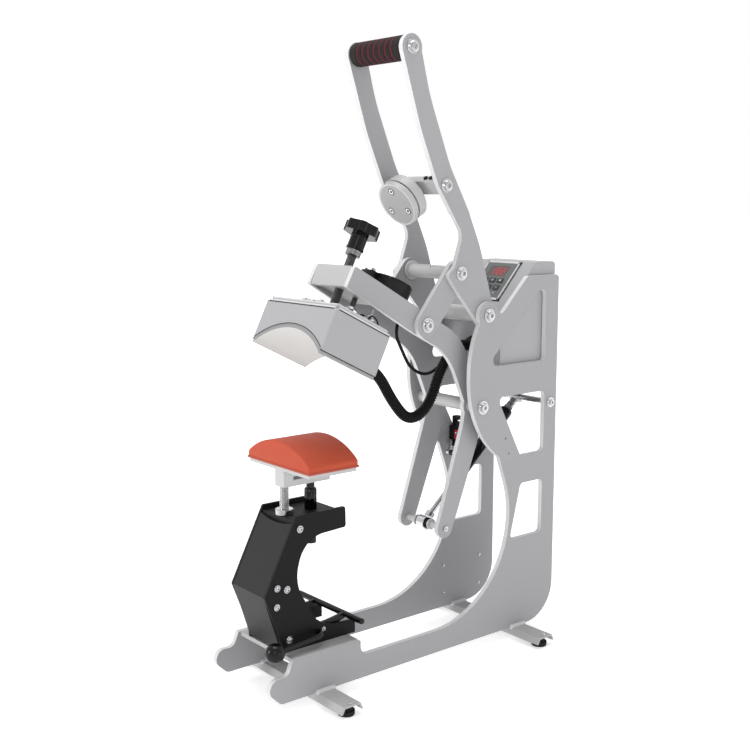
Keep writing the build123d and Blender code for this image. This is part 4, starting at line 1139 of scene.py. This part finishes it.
# lit segments of each digit, and each segment's place and size in millimetres
READING = "182"
SEGMENTS = {"1": "bc", "2": "abged", "8": "abcdefg"}
BARS = {"a": (0, -6, 5.4, 1.5), "g": (0, 0, 5.4, 1.5), "d": (0, 6, 5.4, 1.5), "f": (-3, -3, 1.5, 5.2),
        "b": (3, -3, 1.5, 5.2), "e": (-3, 3, 1.5, 5.2), "c": (3, 3, 1.5, 5.2)}
KEY_COLUMNS = (-17, 0, 17)
KEY_ROWS = (43, 57)
KEY_MARKS = ((-17, 43, 4.5, 1.0), (0, 43, 4.5, 1.0), (0, 43, 1.0, 4.5), (17, 43, 3.4, 3.4), (-17, 57, 1.0, 4.0),
             (0, 57, 4.0, 1.0), (17, 57, 3.0, 1.0))


class HEATPRESS_OT_panel_parts(bpy.types.Operator):
    """Bezel, lit digits, key caps and lamps of the control panel"""
    bl_idname = "heat_press.panel_parts"
    bl_label = "Control panel parts"

    def execute(self, context):
        bezel = [(0, 5.2, 0.0716, 0.0034), (0, 78.8, 0.0716, 0.0034), (-34.1, PANEL_MID, 0.0034, 0.0770),
                 (34.1, PANEL_MID, 0.0034, 0.0770)]
        gap = [(0, 81.2, 0.0766, 0.0014), (-36.6, PANEL_MID, 0.0014, 0.0790), (36.6, PANEL_MID, 0.0014, 0.0790)]
        window = [(0, DISPLAY_MID, 0.0394, 0.0194)]
        digits = []
        for k, digit in enumerate(READING):
            for name in SEGMENTS[digit]:
                x, down, wide, tall = BARS[name]
                digits.append((11.5 * k - 11.5 + x, DISPLAY_MID + down, wide * MM, tall * MM))
        caps = [(x, down, 0.0108, 0.0078) for down in KEY_ROWS for x in KEY_COLUMNS]
        marks = [(x, down, wide * MM, tall * MM) for x, down, wide, tall in KEY_MARKS]
        for name, finish_name, parts, lift, thick, bevel in (
                ("panel_bezel", "bezel_coat", bezel, 0.9, 0.0022, 0.0005),
                ("panel_gap", "moulded_black", gap, 0.15, 0.0006, 0.0),
                ("display_window", "display_window", window, 1.5, 0.0008, 0.0002),
                ("display_digits", "lit_red", digits, 2.0, 0.0003, 0.0),
                ("key_caps", "key_black", caps, 2.9, 0.0007, 0.0003),
                ("key_marks", "enamel_wire", marks, 3.35, 0.0002, 0.0)):
            placed = [(slope_point(x, down, lift), (wide, tall, thick), bevel) for x, down, wide, tall in parts]
            blocks(name, SLOPE_AXES, placed, finish_name, "base")
        lamps = bmesh.new()
        for x in KEY_COLUMNS:
            lathe_into(lamps, [(0, 0.0012), (0.0007, 0.0010), (0.0010, 0.0004), (0.0011, 0)], slope_point(x, 68, 2.0),
                       SLOPE_OUT, 16)
        settle(lamps, "panel_lamps", "lamp_pale", "base")
        return {"FINISHED"}


class HEATPRESS_OT_frame_hardware(bpy.types.Operator):
    """Weld beads on the feet, and small screws in the frame plates, the feet, the box and the inlet"""
    bl_idname = "heat_press.frame_hardware"
    bl_label = "Weld beads and frame screws"

    def execute(self, context):
        blob = bmesh.new()
        bmesh.ops.create_uvsphere(blob, u_segments=12, v_segments=8, radius=context.scene.heat_press_sizes.weld_size)
        fasteners("weld_beads", blob, self.bead_spots(), "bezel_coat", "base")
        inner = [(mm(-side * 65, y, z), (side, 0, 0)) for side in (1, -1)
                 for y, z in ((161.8, 91), (162.5, 42), (246, 93), (245, 43))]
        feet = [(mm(side * 129, line, 18.0), Z_AXIS) for line in FOOT_LINES for side in (-1, 1)]
        back = [(mm(x, 279.0, z), Y_AXIS) for x in (-57, 57) for z in (449, 594)]
        flush = [(mm(x, 280.9, 480), Y_AXIS) for x in (-24.6, 24.6)]
        for name, head, spots in (("frame_inner_screws", (0.0026, 0.0016, 0.0011), inner),
                                  ("foot_screws", (0.0034, 0.0018, 0.0016), feet),
                                  ("box_back_screws", (0.0026, 0.0014, 0.0011), back),
                                  ("inlet_screws", (0.0024, 0.0005, 0.0011), flush)):
            fasteners(name, small_head(*head), spots, "chrome", "base")
        return {"FINISHED"}

    def bead_spots(self):
        """Uneven rows of beads along both faces of both side plates, at each foot."""
        spots = []
        for line in FOOT_LINES:
            for side in (-1, 1):
                for face, out in ((65.0, -1), (73.0, 1)):
                    for k in range(17):
                        y = line - 13 + 26 * k / 16
                        wobble = 0.35 * math.sin(k * 2.1 + line)
                        spots.append((mm(side * (face + out * (0.5 + 0.3 * wobble)), y, 18.2), (side * out, 0, 1)))
        return spots


class HEATPRESS_OT_inlet_pins(bpy.types.Operator):
    """Three flat pins in the power inlet"""
    bl_idname = "heat_press.inlet_pins"
    bl_label = "Inlet pins"

    def execute(self, context):
        pins = [(mm(x, 272.5, z), (0.002, 0.014, 0.004), 0.0003) for x, z in ((-7, 478), (0, 483), (7, 478))]
        blocks("inlet_pins", WORLD_AXES, pins, "chrome", "base")
        return {"FINISHED"}


class HEATPRESS_OT_silicone_pad(bpy.types.Operator):
    """Arched silicone pad with softened edges"""
    bl_idname = "heat_press.silicone_pad"
    bl_label = "Silicone pad"

    def execute(self, context):
        low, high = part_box("silicone_pad")
        radius = PAD_RADIUS * MM
        half = high.x
        steps = 48
        lean = math.asin(half / radius)
        ring = [(-half, low.z), (half, low.z)]
        for k in range(steps + 1):
            a = lean * (1 - 2 * k / steps)
            ring.append((radius * math.sin(a), high.z - radius + radius * math.cos(a)))
        bm = bmesh.new()
        ends = [[bm.verts.new((x, y, z)) for x, z in ring] for y in (low.y, high.y)]
        count = len(ring)
        for k in range(count):
            n = (k + 1) % count
            bm.faces.new([ends[0][k], ends[0][n], ends[1][n], ends[1][k]])
        for end in ends:
            bm.faces.new(end)
        bmesh.ops.recalc_face_normals(bm, faces=bm.faces)
        sharp = [e for e in bm.edges if len(e.link_faces) == 2 and e.calc_face_angle(0.0) > math.radians(25)]
        bmesh.ops.bevel(bm, geom=sharp, offset=0.0022, offset_type="OFFSET", segments=4, profile=0.5, affect="EDGES",
                        clamp_overlap=True)
        pad = settle(bm, "arched_pad", "pad_silicone", "base", 40)
        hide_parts("silicone_pad")
        return {"FINISHED"}


class HEATPRESS_OT_pad_trim(bpy.types.Operator):
    """Moulded foot line of the pad"""
    bl_idname = "heat_press.pad_trim"
    bl_label = "Pad trim"

    def execute(self, context):
        runs = ((0, -215.2, 0.1506, 0.0012), (0, -129.8, 0.1506, 0.0012), (-75.1, -172.5, 0.0012, 0.0866),
                (75.1, -172.5, 0.0012, 0.0866))
        line = [(mm(x, y, PAD_FOOT_Z), (wide, deep, 0.0030), 0.0005) for x, y, wide, deep in runs]
        blocks("pad_foot_line", WORLD_AXES, line, "pad_rim", "base")
        return {"FINISHED"}


class HEATPRESS_OT_foam_sleeve(bpy.types.Operator):
    """Foam sleeve of the grip, with grooves between its coloured bands"""
    bl_idname = "heat_press.foam_sleeve"
    bl_label = "Foam sleeve"

    def execute(self, context):
        radius = context.scene.heat_press_sizes.grip_radius
        low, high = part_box("foam_grip")
        half = high.x
        side = [(-half, 0.0093), (-half, radius - 0.0022), (-half + 0.0007, radius - 0.0007), (-half + 0.0022, radius)]
        middle = []
        for k in range(-3, 4):
            centre = FOAM_PITCH * MM * k
            for step, drop in ((-0.0046, 0.0), (-0.0039, 0.0009), (-0.0031, 0.0002), (-0.0014, 0.0), (0.0014, 0.0),
                               (0.0031, 0.0002), (0.0039, 0.0009), (0.0046, 0.0)):
                middle.append((centre + step, radius - drop))
        sleeve = bmesh.new()
        lathe_into(sleeve, side + middle + [(-x, r) for x, r in reversed(side)], mm(0, *GRIP), (1, 0, 0), 64,
                   ring_only=True)
        foam = settle(sleeve, "banded_foam_sleeve", "ringed_foam", "handle", 50)
        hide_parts("foam_grip")
        return {"FINISHED"}


DETAILS = [HEATPRESS_OT_screw_threads, HEATPRESS_OT_rear_post_grip, HEATPRESS_OT_knob_cap, HEATPRESS_OT_disc_screws,
           HEATPRESS_OT_shaft_screws, HEATPRESS_OT_gas_spring_ends, HEATPRESS_OT_limit_switch_parts,
           HEATPRESS_OT_head_terminals, HEATPRESS_OT_magnet_wires, HEATPRESS_OT_panel_parts,
           HEATPRESS_OT_frame_hardware, HEATPRESS_OT_inlet_pins, HEATPRESS_OT_silicone_pad, HEATPRESS_OT_pad_trim,
           HEATPRESS_OT_foam_sleeve]


# ------------------------------------------------------------------ stage
CAMERA_PLACE = Vector((1.275, -1.0805, 0.697))
CAMERA_AZIMUTH = 50.757
CAMERA_DOWN = 8.789
CAMERA_LENS = 54.01
WHITE = (1.0, 1.0, 1.0)


def lamp(name, place, target, size, size_y, power):
    """Soft studio lamp that looks at a target point."""
    light = bpy.data.lights.new(name, "AREA")
    light.shape = "RECTANGLE"
    light.size = size
    light.size_y = size_y
    light.energy = power
    holder = bpy.data.objects.new(name, light)
    holder.location = place
    holder.rotation_euler = (Vector(target) - Vector(place)).to_track_quat("-Z", "Y").to_euler()
    bpy.context.scene.collection.objects.link(holder)
    return holder


class HEATPRESS_OT_stage(bpy.types.Operator):
    """White floor and backdrop, soft lamps and the camera"""
    bl_idname = "heat_press.stage"
    bl_label = "Stage, lamps and camera"

    def execute(self, context):
        scene = context.scene
        bm = bmesh.new()
        made = bmesh.ops.create_grid(bm, x_segments=2, y_segments=2, size=40.0)
        for vert in made["verts"]:
            vert.co.z = -0.0001
        mesh = bpy.data.meshes.new("studio_floor")
        bm.to_mesh(mesh)
        bm.free()
        mesh.materials.append(self.floor_finish())
        floor = bpy.data.objects.new("studio_floor", mesh)
        scene.collection.objects.link(floor)
        aim = (0.0, 0.0, 0.42)
        lamps = [lamp("front_softbox", (-0.9, -2.4, 0.95), aim, 0.42, 1.1, 17.0),
                 lamp("key_strip", (2.0, -1.7, 1.5), aim, 0.17, 1.4, 6.5),
                 lamp("low_fill", (2.5, 0.5, 0.45), aim, 1.5, 0.7, 4.0),
                 lamp("top_softbox", (-0.1, -0.1, 2.5), aim, 1.3, 1.5, 27.0)]
        camera_data = bpy.data.cameras.new("product_camera")
        camera_data.lens = CAMERA_LENS
        camera_data.sensor_width = 36.0
        camera = bpy.data.objects.new("product_camera", camera_data)
        a = math.radians(CAMERA_AZIMUTH)
        e = math.radians(CAMERA_DOWN)
        back = Vector((math.sin(a) * math.cos(e), -math.cos(a) * math.cos(e), math.sin(e)))
        camera.location = CAMERA_PLACE
        camera.rotation_euler = (-back).to_track_quat("-Z", "Y").to_euler()
        scene.collection.objects.link(camera)
        scene.camera = camera
        scene.world = self.sky()
        scene.view_settings.view_transform = "Standard"
        return {"FINISHED"}

    def floor_finish(self):
        """Matt floor that turns to plain white away from the press."""
        material = bpy.data.materials.new("studio_white")
        material.use_nodes = True
        tree = material.node_tree
        tree.nodes.clear()
        end = new_node(tree, "ShaderNodeOutputMaterial", (400, 0))
        shader = new_node(tree, "ShaderNodeBsdfPrincipled", (100, 0))
        set_inputs(shader, {"Base Color": rgba((0.90, 0.90, 0.90)), "Roughness": 0.9, "Specular IOR Level": 0.1,
                            "Emission Color": rgba(WHITE)})
        place = new_node(tree, "ShaderNodeTexCoord", (-700, 0))
        reach = new_node(tree, "ShaderNodeVectorMath", (-500, 0), operation="LENGTH")
        fade = new_node(tree, "ShaderNodeMapRange", (-300, 0), interpolation_type="SMOOTHSTEP")
        set_inputs(fade, {"From Min": 0.25, "From Max": 2.2, "To Min": 0.46, "To Max": 0.9})
        join(tree, place.outputs["Object"], reach.inputs[0])
        join(tree, reach.outputs["Value"], fade.inputs["Value"])
        join(tree, fade.outputs["Result"], shader.inputs["Emission Strength"])
        join(tree, shader.outputs["BSDF"], end.inputs["Surface"])
        return material

    def sky(self):
        """Even light that is seen, reflected and refracted as white."""
        world = bpy.data.worlds.new("studio_sky")
        world.use_nodes = True
        tree = world.node_tree
        tree.nodes.clear()
        end = new_node(tree, "ShaderNodeOutputWorld", (600, 0))
        rays = new_node(tree, "ShaderNodeLightPath", (-400, 200))
        seen = math_node(tree, "ADD", rays.outputs["Is Camera Ray"], rays.outputs["Is Glossy Ray"], (-200, 250))
        clear = math_node(tree, "MAXIMUM", seen, rays.outputs["Is Transmission Ray"], (-40, 200))
        soft = new_node(tree, "ShaderNodeBackground", (100, -100))
        set_inputs(soft, {"Color": rgba(WHITE), "Strength": 0.54})
        white = new_node(tree, "ShaderNodeBackground", (100, 60))
        set_inputs(white, {"Color": rgba(WHITE), "Strength": 1.0})
        mix = new_node(tree, "ShaderNodeMixShader", (340, 0))
        join(tree, clear, mix.inputs["Fac"])
        join(tree, soft.outputs[0], mix.inputs[1])
        join(tree, white.outputs[0], mix.inputs[2])
        join(tree, mix.outputs[0], end.inputs["Surface"])
        return world


# ------------------------------------------------------------------ panel and registration
OPERATORS = [HEATPRESS_OT_finishes, HEATPRESS_OT_hose, HEATPRESS_OT_cable, *DETAILS, HEATPRESS_OT_stage]


class HEATPRESS_PT_tools(bpy.types.Panel):
    """Lists the steps that dress the heat press"""
    bl_idname = "HEATPRESS_PT_tools"
    bl_label = "Cap Heat Press"
    bl_space_type = "VIEW_3D"
    bl_region_type = "UI"
    bl_category = "Heat Press"

    def draw(self, context):
        for name in ("plate", "rim", "pad"):
            self.layout.prop(context.scene.heat_press_colours, name)
        for name in ("hose_diameter", "hose_pitch", "cable_diameter", "thread_pitch"):
            self.layout.prop(context.scene.heat_press_sizes, name)
        for operator in OPERATORS:
            self.layout.operator(operator.bl_idname)


CLASSES = [HeatPressColours, HeatPressSizes, *OPERATORS, HEATPRESS_PT_tools]


def register():
    for cls in CLASSES:
        bpy.utils.register_class(cls)
    bpy.types.Scene.heat_press_colours = bpy.props.PointerProperty(type=HeatPressColours)
    bpy.types.Scene.heat_press_sizes = bpy.props.PointerProperty(type=HeatPressSizes)


def unregister():
    del bpy.types.Scene.heat_press_sizes
    del bpy.types.Scene.heat_press_colours
    for cls in reversed(CLASSES):
        bpy.utils.unregister_class(cls)


def main():
    register()
    for operator in OPERATORS:
        group, name = operator.bl_idname.split(".")
        getattr(getattr(bpy.ops, group), name)()


if __name__ == "__main__":
    main()
